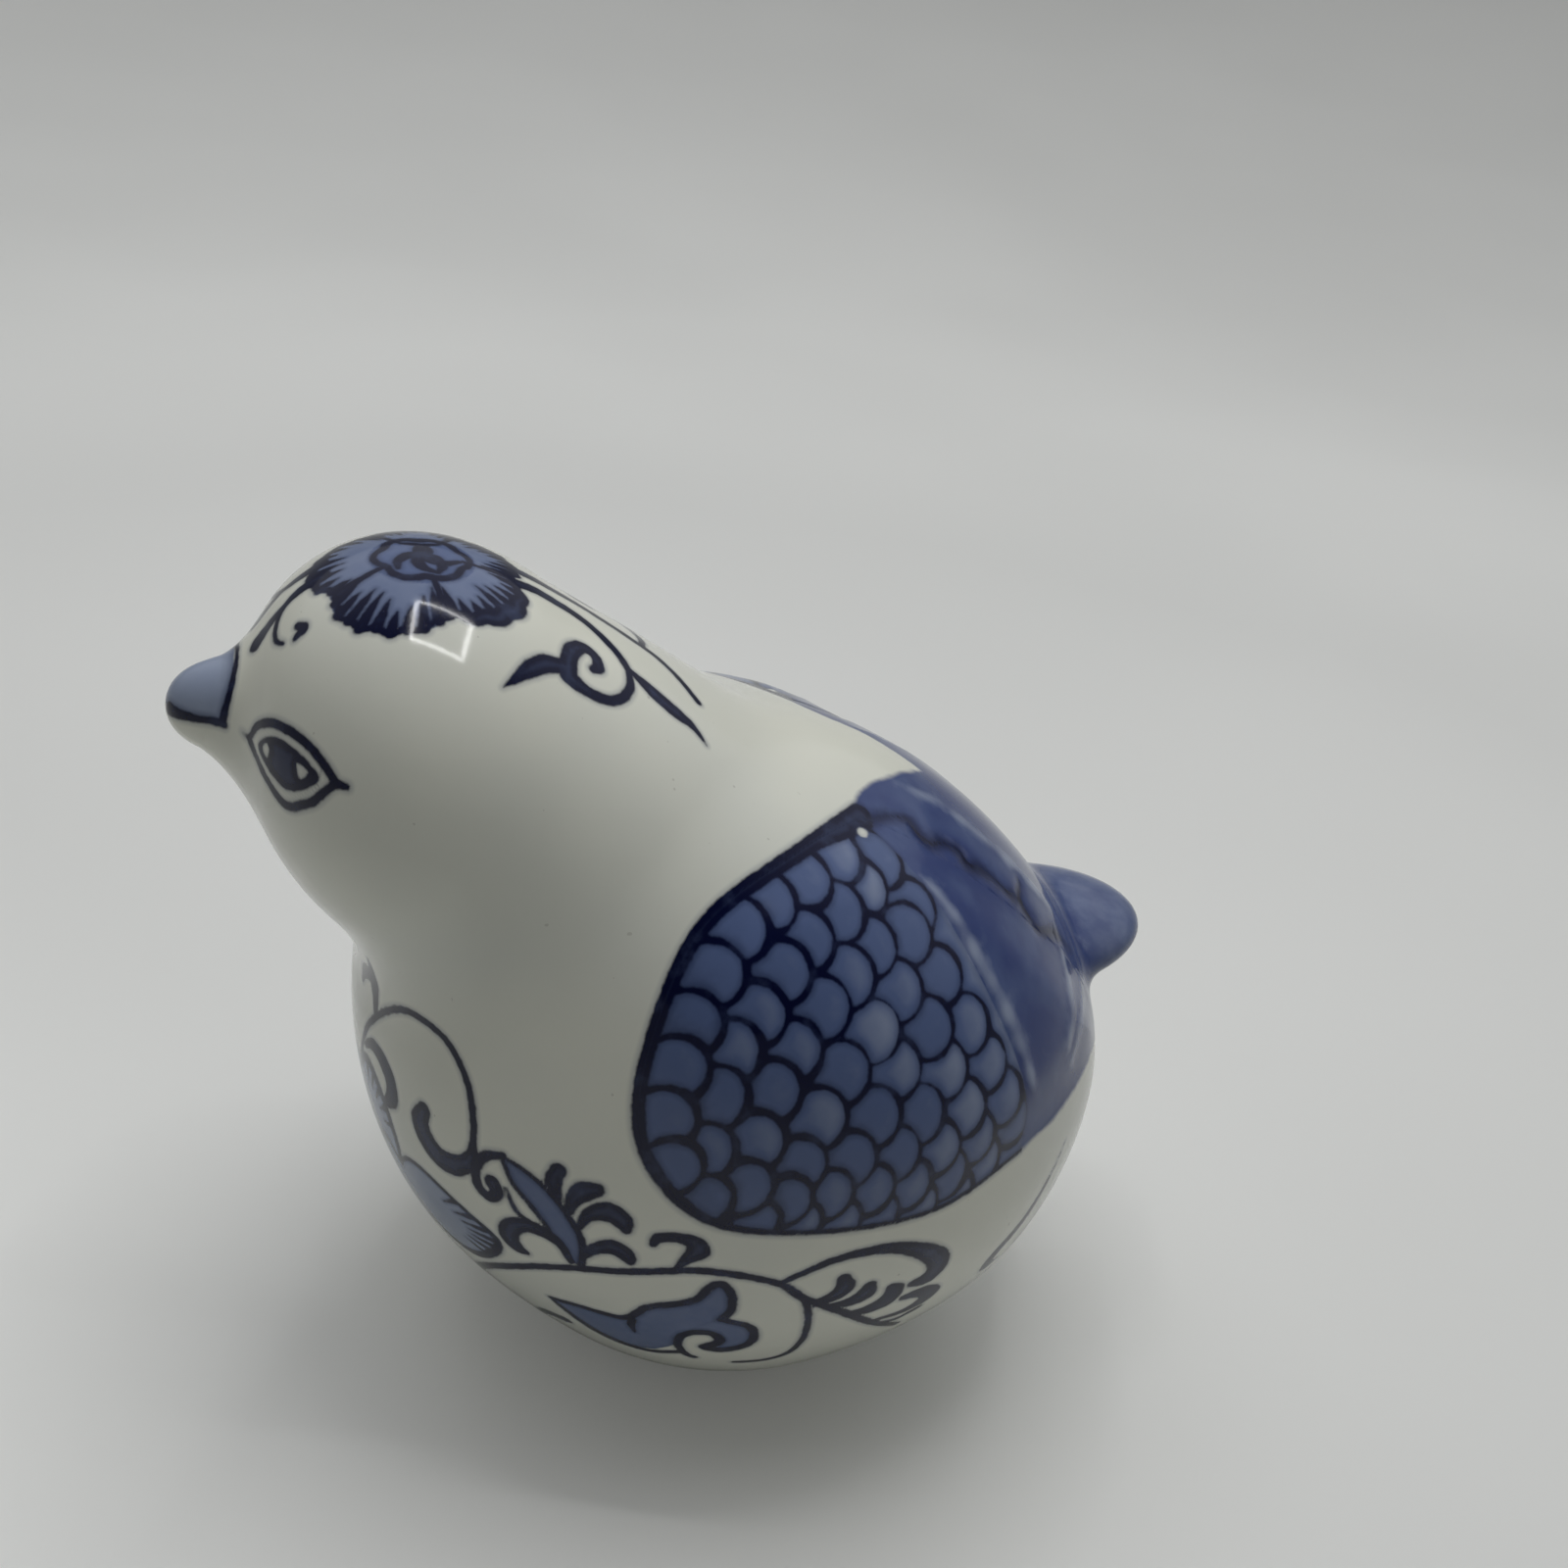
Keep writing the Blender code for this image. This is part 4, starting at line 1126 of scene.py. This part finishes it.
        patches = [
            Patch(((-2.0, 33.2), (4.0, 33.0), (9.0, 33.4), (13.0, 30.5), (12.0, 27.0), (7.0, 24.6), (-2.0, 24.0)), tone=-1.2),
            Patch(((11.5, 27.5), (12.5, 30.5), (16.5, 31.8), (20.6, 30.8), (20.6, 26.6), (14.0, 25.6)), tone=-1.4),
            Patch(((-2.0, 31.4), (0.0, 31.4), (2.8, 30.7), (3.9, 29.1), (2.8, 27.5), (0.0, 26.8), (-2.0, 26.8)), tone=0.9),
            Patch(((0.0, 36.4), (8.0, 37.5), (11.0, 39.4), (14.5, 39.6), (18.5, 37.6), (20.9, 33.8), (20.4, 30.6), (13.0, 30.5), (6.0, 31.5), (0.0, 31.0)), tone=-1.5),
            Patch(((20.0, 30.4), (23.5, 33.0), (28.0, 33.7), (34.0, 32.6), (40.2, 30.2), (39.4, 27.4), (34.5, 24.2), (28.0, 23.2), (23.0, 24.4), (19.0, 27.0)), tone=-1.5),
            Patch(((-2.0, 20.0), (6.0, 19.2), (13.0, 18.5), (20.0, 20.5), (23.0, 24.4), (13.0, 27.0), (-2.0, 25.0)), tone=-1.3),
            Patch(((53.6, 30.6), (54.0, 32.4), (53.7, 34.4), (52.5, 36.3), (50.4, 38.4), (47.8, 40.2), (45.0, 41.3), (42.2, 41.9), (43.8, 39.2), (46.2, 37.4), (48.2, 35.6), (50.0, 33.4), (52.2, 31.0)), tone=-0.5),
            Patch(((71.4, 24.6), (75.2, 25.8), (78.4, 25.3), (80.3, 24.2), (81.0, 22.5), (80.0, 20.6), (77.5, 19.7), (74.6, 19.9), (75.4, 21.2), (75.6, 22.2), (74.6, 23.0), (72.4, 23.2), (70.6, 22.6)), tone=-0.5),
            Patch(((47.6, 22.2), (52.5, 22.7), (60.5, 23.2), (63.7, 26.0), (70.8, 28.5), (74.4, 31.1), (76.2, 28.0), (75.2, 25.8), (71.2, 22.8), (69.2, 20.0), (64.5, 17.0), (58.9, 16.5), (54.0, 17.6), (50.0, 20.0)), tone=-0.5),
        ]
        return strokes, patches

    def motif(self) -> Motif:
        """The whole drawing round the body."""
        strokes, patches = self.blossom()
        return Motif(WrapChart(self.axis_y), self.scrolls() + self.leaves() + self.cluster() + strokes, patches)


@dataclass
class Painter:
    """Turns the motifs into values on the vertices of a piece."""

    bird: Bird
    crown: CrownPeony = field(default_factory=CrownPeony)
    face: FaceMarks = field(default_factory=FaceMarks)
    beak: BillMarks = field(default_factory=BillMarks)
    vine: BreastVine = field(default_factory=BreastVine)

    def sheet(self, grid: Grid, blank: bool = False) -> dict[str, Array]:
        """Painting of one piece.

        Args:
            grid: The piece's skin.
            blank: Whether the piece is left unpainted.

        Returns:
            Distances to line, wash and mantle in mm, and the pooling from -1 to 1.
        """
        points = grid.points.reshape(-1, 3)
        sheet = {key: np.full(len(points), value) for key, value in (("line", FAR), ("wash", FAR), ("mantle", 6.0), ("pool", 0.0))}
        if not blank:
            form = self.bird.form
            self.bird.wing.paint(points, sheet)
            flared = 1.0 - ease(form.tongue.distance(points), 0.1, 1.8)
            sheet["pool"] -= 0.45 * flared * ease(points[:, 1], 38.0, 44.0)
            self.crown.motif().paint(points, form.figure, sheet)
            self.face.motif().paint(points, form.figure, sheet)
            self.vine.motif().paint(points, form.figure, sheet)
            front = points[:, 1] < -44.0
            if front.any():
                part = {key: values[front] for key, values in sheet.items()}
                self.beak.motif().paint(points[front], form.beaked, part)
                for key, values in part.items():
                    sheet[key][front] = values
        return sheet


def tint(red: int, green: int, blue: int) -> tuple[float, float, float, float]:
    """Linear colour of a screen colour given in 0 to 255."""
    shares = np.array([red, green, blue]) / 255.0
    linear = np.where(shares <= 0.04045, shares / 12.92, ((shares + 0.055) / 1.055) ** 2.4)
    return (*map(float, linear), 1.0)


@dataclass
class Graph:
    """Short hand for the nodes of one tree."""

    tree: bpy.types.NodeTree

    def node(self, kind: str, **settings: object) -> bpy.types.Node:
        """A new node with its properties set."""
        made = self.tree.nodes.new(kind)
        for key, value in settings.items():
            setattr(made, key, value)
        return made

    def put(self, socket: bpy.types.NodeSocket, value: object) -> None:
        """Link a socket to another one, or set its value."""
        if isinstance(value, bpy.types.NodeSocket):
            self.tree.links.new(value, socket)
        else:
            socket.default_value = value

    def sum(self, operation: str, *values: object) -> bpy.types.NodeSocket:
        """Result of one arithmetic step."""
        made = self.node("ShaderNodeMath", operation=operation)
        for socket, value in zip(made.inputs, values):
            self.put(socket, value)
        return made.outputs[0]

    def step(self, value: object, start: float, end: float, low: float = 0.0, high: float = 1.0) -> bpy.types.NodeSocket:
        """Smooth step of a value from low at the start to high at the end."""
        made = self.node("ShaderNodeMapRange", interpolation_type="SMOOTHSTEP")
        for socket, entry in zip(made.inputs, (value, start, end, low, high)):
            self.put(socket, entry)
        return made.outputs[0]

    def mix(self, share: object, first: object, second: object, blend: str = "MIX") -> bpy.types.NodeSocket:
        """Mix of two colours."""
        made = self.node("ShaderNodeMix", data_type="RGBA", blend_type=blend)
        self.put(made.inputs[0], share)
        self.put(made.inputs[6], first)
        self.put(made.inputs[7], second)
        return made.outputs[2]

    def noise(self, per_mm: float, detail: float = 2.0, stretch: Place = (1.0, 1.0, 1.0)) -> bpy.types.NodeSocket:
        """Cloudy value about 0.5 on Object coordinates, with so many waves in a millimetre."""
        place = self.node("ShaderNodeTexCoord").outputs["Object"]
        turned = self.node("ShaderNodeMapping")
        self.put(turned.inputs["Vector"], place)
        turned.inputs["Scale"].default_value = tuple(s * per_mm / MM for s in stretch)
        made = self.node("ShaderNodeTexNoise")
        self.put(made.inputs["Vector"], turned.outputs[0])
        made.inputs["Scale"].default_value = 1.0
        made.inputs["Detail"].default_value = detail
        return made.outputs["Fac"]


def new_group(name: str, inputs: dict[str, object], outputs: dict[str, str]) -> tuple[Graph, bpy.types.Node, bpy.types.Node]:
    """A shader group with named sockets.

    Args:
        name: Name of the group.
        inputs: Default value by input name; a tuple makes a colour, a number a value.
        outputs: Socket kind by output name.

    Returns:
        Its graph, its input node and its output node.
    """
    tree = bpy.data.node_groups.new(name, "ShaderNodeTree")
    for key, value in inputs.items():
        kind = "NodeSocketColor" if isinstance(value, tuple) else "NodeSocketFloat"
        tree.interface.new_socket(key, in_out="INPUT", socket_type=kind).default_value = value
    for key, kind in outputs.items():
        tree.interface.new_socket(key, in_out="OUTPUT", socket_type=kind)
    graph = Graph(tree)
    return graph, graph.node("NodeGroupInput"), graph.node("NodeGroupOutput")


@dataclass(frozen=True)
class Palette:
    """Inks and ground of the painting, as screen colours."""

    ground: tuple[int, int, int] = (227, 228, 216)
    line: tuple[int, int, int] = (3, 9, 46)
    wash: tuple[int, int, int] = (84, 100, 140)
    mantle: tuple[int, int, int] = (54, 68, 117)
    pale: tuple[int, int, int] = (150, 161, 183)


def brushwork() -> bpy.types.NodeTree:
    """Group that turns distances into ink: soft wobbling edges, clouded washes, pooled glaze."""
    inks = Palette()
    graph, given, out = new_group(
        "brushwork",
        {
            "Line": FAR,
            "Wash": FAR,
            "Mantle": 6.0,
            "Pool": 0.0,
            "Ground": tint(*inks.ground),
            "Line Ink": tint(*inks.line),
            "Wash Ink": tint(*inks.wash),
            "Mantle Ink": tint(*inks.mantle),
            "Pale Ink": tint(*inks.pale),
        },
        {"Color": "NodeSocketColor", "Ink": "NodeSocketFloat"},
    )
    fine = graph.sum("SUBTRACT", graph.noise(1.1, 3.0), 0.5)
    broad = graph.noise(0.16, 2.0)
    cloud = graph.noise(0.45, 4.0)
    ground = graph.mix(graph.step(graph.noise(0.035, 2.0), 0.35, 0.7), given.outputs["Ground"], tint(219, 221, 212))
    speck = graph.step(graph.noise(1.7, 0.0), 0.872, 0.89, 0.0, 0.4)
    ground = graph.mix(speck, ground, tint(168, 166, 156))

    calm = graph.step(graph.sum("MULTIPLY", given.outputs["Pool"], -1.0), 0.1, 0.5, 1.0, 0.25)
    clouded = graph.sum("MULTIPLY", graph.step(cloud, 0.3, 0.7, -0.2, 0.24), calm)
    pooled = graph.sum("ADD", given.outputs["Pool"], clouded)
    dark = graph.step(pooled, 0.05, 1.1)
    light = graph.step(graph.sum("MULTIPLY", pooled, -1.0), 0.1, 1.0)
    deep = graph.mix(0.62, given.outputs["Mantle Ink"], given.outputs["Line Ink"])
    mantle = graph.mix(graph.step(broad, 0.35, 0.75, 0.0, 0.6), given.outputs["Mantle Ink"], given.outputs["Wash Ink"])
    mantle = graph.mix(graph.sum("MULTIPLY", light, 0.8), mantle, given.outputs["Pale Ink"])
    mantle = graph.mix(graph.sum("MULTIPLY", dark, 0.9), mantle, deep)
    spread = graph.sum("MULTIPLY_ADD", graph.sum("SUBTRACT", cloud, 0.5), 0.7, given.outputs["Mantle"])
    share = graph.step(spread, 0.3, -0.5)
    colour = graph.mix(share, ground, mantle)

    edge = graph.sum("MULTIPLY_ADD", fine, 0.35, given.outputs["Wash"])
    rim = graph.step(edge, -0.9, -0.05, 0.0, 0.35)
    deep = graph.mix(0.5, given.outputs["Wash Ink"], given.outputs["Line Ink"])
    paler = graph.step(graph.sum("MULTIPLY", pooled, -1.0), 0.1, 1.7, 0.0, 0.95)
    wash = graph.mix(paler, given.outputs["Wash Ink"], given.outputs["Pale Ink"])
    wash = graph.mix(graph.sum("MAXIMUM", graph.sum("MULTIPLY", dark, 0.55), rim), wash, deep)
    washed = graph.step(edge, 0.14, -0.14)
    colour = graph.mix(washed, colour, wash)

    stroke = graph.sum("MULTIPLY_ADD", fine, 0.3, given.outputs["Line"])
    drawn = graph.step(stroke, 0.15, -0.16)
    bleed = graph.step(given.outputs["Line"], 0.6, 0.0, 0.0, 0.32)
    colour = graph.mix(bleed, colour, given.outputs["Wash Ink"], "MULTIPLY")
    thin = graph.mix(graph.step(cloud, 0.5, 0.75, 0.0, 0.35), given.outputs["Line Ink"], deep)
    thin = graph.mix(graph.step(stroke, -0.45, -1.1, 0.0, 0.4), thin, deep)
    colour = graph.mix(drawn, colour, thin)
    graph.put(out.inputs["Color"], colour)
    graph.put(out.inputs["Ink"], graph.sum("MAXIMUM", graph.sum("MAXIMUM", share, washed), drawn))
    return graph.tree


def fired_surface() -> bpy.types.NodeTree:
    """Group for the fired skin: slow waves, orange peel and pinholes, and a matching roughness."""
    graph, given, out = new_group(
        "fired_surface",
        {"Waves": 0.5, "Peel": 0.1, "Rough": 0.1, "Spread": 0.08},
        {"Height": "NodeSocketFloat", "Roughness": "NodeSocketFloat"},
    )
    waves = graph.sum("MULTIPLY", graph.noise(0.07, 2.0), given.outputs["Waves"])
    peel = graph.sum("MULTIPLY", graph.noise(0.8, 2.0), given.outputs["Peel"])
    pits = graph.step(graph.noise(3.1, 0.0), 0.79, 0.86, 0.0, -0.05)
    graph.put(out.inputs["Height"], graph.sum("ADD", graph.sum("ADD", waves, peel), pits))
    rough = graph.sum("MULTIPLY_ADD", graph.noise(0.3, 3.0), given.outputs["Spread"], given.outputs["Rough"])
    graph.put(out.inputs["Roughness"], rough)
    return graph.tree


@dataclass(frozen=True)
class Glaze:
    """Painted porcelain under a clear glossy glaze."""

    name: str
    palette: Palette = Palette()
    rough: float = 0.07
    coat: float = 0.12

    def material(self, brush: bpy.types.NodeTree, skin: bpy.types.NodeTree) -> bpy.types.Material:
        """The finish, reading the painting from the piece's attributes.

        Args:
            brush: The brushwork group.
            skin: The fired surface group.

        Returns:
            The material.
        """
        made = bpy.data.materials.new(self.name)
        made.use_nodes = True
        graph = Graph(made.node_tree)
        shader = made.node_tree.nodes["Principled BSDF"]
        ink = graph.node("ShaderNodeGroup", node_tree=brush)
        for key in ("Line", "Wash", "Mantle", "Pool"):
            read = graph.node("ShaderNodeAttribute", attribute_name=key.lower())
            graph.put(ink.inputs[key], read.outputs["Fac"])
        for key, colour in (("Ground", self.palette.ground), ("Line Ink", self.palette.line), ("Wash Ink", self.palette.wash), ("Mantle Ink", self.palette.mantle), ("Pale Ink", self.palette.pale)):
            ink.inputs[key].default_value = tint(*colour)
        fired = graph.node("ShaderNodeGroup", node_tree=skin)
        fired.inputs["Rough"].default_value = self.rough
        bump = graph.node("ShaderNodeBump")
        bump.inputs["Strength"].default_value = 0.35
        bump.inputs["Distance"].default_value = 0.25 * MM
        graph.put(bump.inputs["Height"], fired.outputs["Height"])
        graph.put(shader.inputs["Base Color"], ink.outputs["Color"])
        graph.put(shader.inputs["Roughness"], fired.outputs["Roughness"])
        graph.put(shader.inputs["Normal"], bump.outputs["Normal"])
        shader.inputs["Specular IOR Level"].default_value = 0.28
        shader.inputs["Coat Weight"].default_value = self.coat
        shader.inputs["Coat Roughness"].default_value = 0.03
        return made


@dataclass(frozen=True)
class Biscuit:
    """Bare fired clay of the wiped foot: matt, grainy and a little warm."""

    name: str

    def material(self, skin: bpy.types.NodeTree) -> bpy.types.Material:
        """The finish, with grain from the fired surface group."""
        made = bpy.data.materials.new(self.name)
        made.use_nodes = True
        graph = Graph(made.node_tree)
        shader = made.node_tree.nodes["Principled BSDF"]
        fired = graph.node("ShaderNodeGroup", node_tree=skin)
        for key, value in (("Waves", 0.4), ("Peel", 0.8), ("Rough", 0.6), ("Spread", 0.3)):
            fired.inputs[key].default_value = value
        bump = graph.node("ShaderNodeBump")
        bump.inputs["Strength"].default_value = 0.6
        bump.inputs["Distance"].default_value = 0.2 * MM
        graph.put(bump.inputs["Height"], fired.outputs["Height"])
        clay = graph.mix(graph.step(graph.noise(0.25, 4.0), 0.3, 0.7), tint(214, 207, 194), tint(196, 187, 172))
        grit = graph.step(graph.noise(1.7, 1.0), 0.68, 0.76, 0.0, 0.5)
        graph.put(shader.inputs["Base Color"], graph.mix(grit, clay, tint(150, 140, 126)))
        graph.put(shader.inputs["Roughness"], fired.outputs["Roughness"])
        graph.put(shader.inputs["Normal"], bump.outputs["Normal"])
        return made


@dataclass(frozen=True)
class Studio:
    """Camera, paper sweep and lamps, at the photograph's viewing angle."""

    target: Place = (2.91, 5.72, 66.21)
    azimuth: float = 69.35
    elevation: float = 28.27
    distance: float = 159.39
    roll: float = 8.43
    sensor: float = 36.0
    paper: tuple[int, int, int] = (224, 225, 223)
    # Strengths of the paper's painted glow, far off and towards the camera's side.
    painted_floor_glow: float = 0.15
    fill: float = 0.26

    def back(self) -> Vector:
        """Unit direction from the target to the camera."""
        turn = math.radians(self.azimuth)
        lift = math.radians(self.elevation)
        return Vector((math.sin(turn) * math.cos(lift), -math.cos(turn) * math.cos(lift), math.sin(lift)))

    def camera(self) -> None:
        """Place the camera on its orbit and turn it about its own axis."""
        back = self.back()
        right = (-back).cross(Vector((0.0, 0.0, 1.0))).normalized()
        up = right.cross(-back)
        lean = math.radians(self.roll)
        level = math.cos(lean) * right + math.sin(lean) * up
        head = -math.sin(lean) * right + math.cos(lean) * up
        data = bpy.data.cameras.new("camera")
        data.sensor_width = self.sensor
        data.lens = self.sensor
        data.clip_start = 0.005
        data.clip_end = 20.0
        camera = bpy.data.objects.new("camera", data)
        bpy.context.scene.collection.objects.link(camera)
        turned = Matrix((level, head, back)).transposed().to_4x4()
        camera.matrix_world = Matrix.Translation((Vector(self.target) + back * self.distance) * MM) @ turned
        bpy.context.scene.camera = camera

    def floor(self) -> bpy.types.Object:
        """Round paper floor whose rim curves up: height grows with the square beyond a radius. To the camera the paper
        also glows with painted light: a little everywhere, so also in the bird's shadow, and more towards the camera's
        side and far off.
        """
        turn = np.linspace(0.0, 2.0 * math.pi, 128, endpoint=False)
        radius = np.concatenate([[0.0], np.geomspace(20.0, 1800.0, 70)])
        ring = np.stack([np.cos(turn), np.sin(turn)], axis=1)
        points = np.zeros((len(radius), len(turn), 3))
        points[..., :2] = radius[:, None, None] * ring
        points[..., 2] = np.clip(radius - 500.0, 0.0, None)[:, None] ** 2 / 2600.0
        normals = np.broadcast_to(np.array([0.0, 0.0, 1.0]), points.shape)
        floor = add_piece("paper_floor", Grid(points, normals, first_pole=True), {})
        made = bpy.data.materials.new("pale_paper")
        made.use_nodes = True
        graph = Graph(made.node_tree)
        shader = made.node_tree.nodes["Principled BSDF"]
        clouds = graph.step(graph.noise(0.004, 2.0), 0.3, 0.7)
        darker = tuple(max(0, level - 6) for level in self.paper)
        graph.put(shader.inputs["Base Color"], graph.mix(clouds, tint(*self.paper), tint(*darker)))
        shader.inputs["Roughness"].default_value = 0.75
        shader.inputs["Specular IOR Level"].default_value = 0.2
        reach = graph.node("ShaderNodeVectorMath", operation="LENGTH")
        graph.put(reach.inputs[0], graph.node("ShaderNodeTexCoord").outputs["Object"])
        seen = graph.node("ShaderNodeLightPath").outputs["Is Camera Ray"]
        nearer = graph.node("ShaderNodeVectorMath", operation="DOT_PRODUCT")
        graph.put(nearer.inputs[0], graph.node("ShaderNodeTexCoord").outputs["Object"])
        back = self.back()
        nearer.inputs[1].default_value = tuple(Vector((back.x, back.y, 0.0)) - 0.5 * back.cross(Vector((0.0, 0.0, -1.0))))
        # Painted light: the paper glows for camera rays only, a little everywhere and more towards the camera's side
        # and far off.
        front = graph.step(nearer.outputs["Value"], -0.02, 0.1, 0.06, self.fill)
        far = graph.step(reach.outputs["Value"], 0.1, 0.5, 0.0, self.painted_floor_glow)
        painted_floor_glow = graph.sum("MULTIPLY", seen, graph.sum("MAXIMUM", front, far))
        shader.inputs["Emission Color"].default_value = tint(*self.paper)
        graph.put(shader.inputs["Emission Strength"], painted_floor_glow)
        floor.data.materials.append(made)
        return floor

    def lamp(self, name: str, at: Place, size: Spot, power: float, spin: float = 0.0) -> bpy.types.Object:
        """A rectangular lamp over a place in mm, facing down, with its power in watts.

        Args:
            name: The lamp's name.
            at: Its middle, in mm.
            size: Its sides, in mm.
            power: Its power, in watts.
            spin: Turn about the upright axis, in degrees.

        Returns:
            The lamp.
        """
        data = bpy.data.lights.new(name, "AREA")
        data.shape = "RECTANGLE"
        data.size, data.size_y = size[0] * MM, size[1] * MM
        data.energy = power
        lamp = bpy.data.objects.new(name, data)
        lamp.location = Vector(at) * MM
        lamp.rotation_euler = (0.0, 0.0, math.radians(spin))
        bpy.context.scene.collection.objects.link(lamp)
        return lamp

    def lights(self) -> None:
        """A square of strips overhead, a wide soft panel, and a room that is dimmer behind the camera."""
        top, half, wide, spin = 480.0, 90.0, 12.0, -18.0
        centre = Vector((-60.0, 35.0, top))
        turned = Matrix.Rotation(math.radians(spin), 3, "Z")
        for name, dx, dy, size in (
            ("strip_left", half, 0.0, (wide, 2 * half)),
            ("strip_right", -half, 0.0, (wide, 2 * half)),
            ("strip_front", 0.0, -half, (2 * half, wide)),
            ("strip_back", 0.0, half, (2 * half, wide)),
        ):
            at = centre + turned @ Vector((dx, dy, 0.0))
            self.lamp(name, tuple(at), size, 0.14, spin)
        panel = self.lamp("soft_panel", (-280.0, 110.0, 860.0), (1000.0, 1000.0), 3.35)
        panel.visible_glossy = False
        world = bpy.data.worlds.new("room")
        bpy.context.scene.world = world
        world.use_nodes = True
        graph = Graph(world.node_tree)
        direction = graph.node("ShaderNodeTexCoord").outputs["Generated"]
        split = graph.node("ShaderNodeSeparateXYZ")
        graph.put(split.inputs[0], direction)
        rise = graph.step(split.outputs["Z"], -0.2, 0.9)
        facing = graph.node("ShaderNodeVectorMath", operation="DOT_PRODUCT")
        graph.put(facing.inputs[0], direction)
        facing.inputs[1].default_value = tuple(self.back())
        shade = graph.step(facing.outputs["Value"], -0.35, 0.75)
        room = graph.mix(rise, tint(150, 150, 148), tint(232, 233, 235))
        room = graph.mix(shade, room, tint(70, 70, 66))
        ground = world.node_tree.nodes["Background"]
        graph.put(ground.inputs["Color"], room)
        ground.inputs["Strength"].default_value = 0.64


def main() -> None:
    """Build the bird, its finish and the studio."""
    logging.basicConfig(level=logging.INFO, format="%(message)s")
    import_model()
    bird = Bird()
    painter = Painter(bird)
    brush, fired = brushwork(), fired_surface()
    finishes = {
        "white_glaze": Glaze("white_glaze").material(brush, fired),
        "scale_glaze": Glaze("scale_glaze").material(brush, fired),
        "feather_glaze": Glaze("feather_glaze").material(brush, fired),
        "slate_glaze": Glaze("slate_glaze").material(brush, fired),
        "bare_biscuit": Biscuit("bare_biscuit").material(fired),
    }
    scales = (bird.wing.scale_outline(), (1.0, -1.0))
    feathers = (bird.wing.feather_outline(), (24.0, 0.0))
    pieces = (
        ("left_body_skin", "body_shell", "white_glaze", bird.body(1)),
        ("right_body_skin", "body_shell", "white_glaze", bird.body(-1)),
        ("head_skin", "head_shell", "white_glaze", bird.head()),
        ("upper_bill_skin", "upper_bill", "slate_glaze", bird.bill(True)),
        ("lower_bill_skin", "lower_bill", "white_glaze", bird.bill(False)),
        ("left_scale_skin", "left_wing_scales", "scale_glaze", bird.wing_patch(*scales, 1, (150, 480))),
        ("right_scale_skin", "right_wing_scales", "scale_glaze", bird.wing_patch(*scales, -1, (150, 480))),
        ("left_feather_skin", "left_wing_feathers", "feather_glaze", bird.wing_patch(*feathers, 1, (90, 300))),
        ("right_feather_skin", "right_wing_feathers", "feather_glaze", bird.wing_patch(*feathers, -1, (90, 300))),
        ("tail_skin", "tail", "slate_glaze", bird.tail()),
        ("foot_ring", "base_plate", "bare_biscuit", bird.foot()),
    )
    for name, node, slot, grid in pieces:
        piece = add_piece(name, grid, painter.sheet(grid, blank=slot == "bare_biscuit"))
        piece.data.materials.append(finishes[slot])
        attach(piece, "root")
        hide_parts(node)
    studio = Studio()
    studio.camera()
    studio.floor()
    studio.lights()
    bpy.context.scene.view_settings.view_transform = "Standard"


if __name__ == "__main__":
    main()
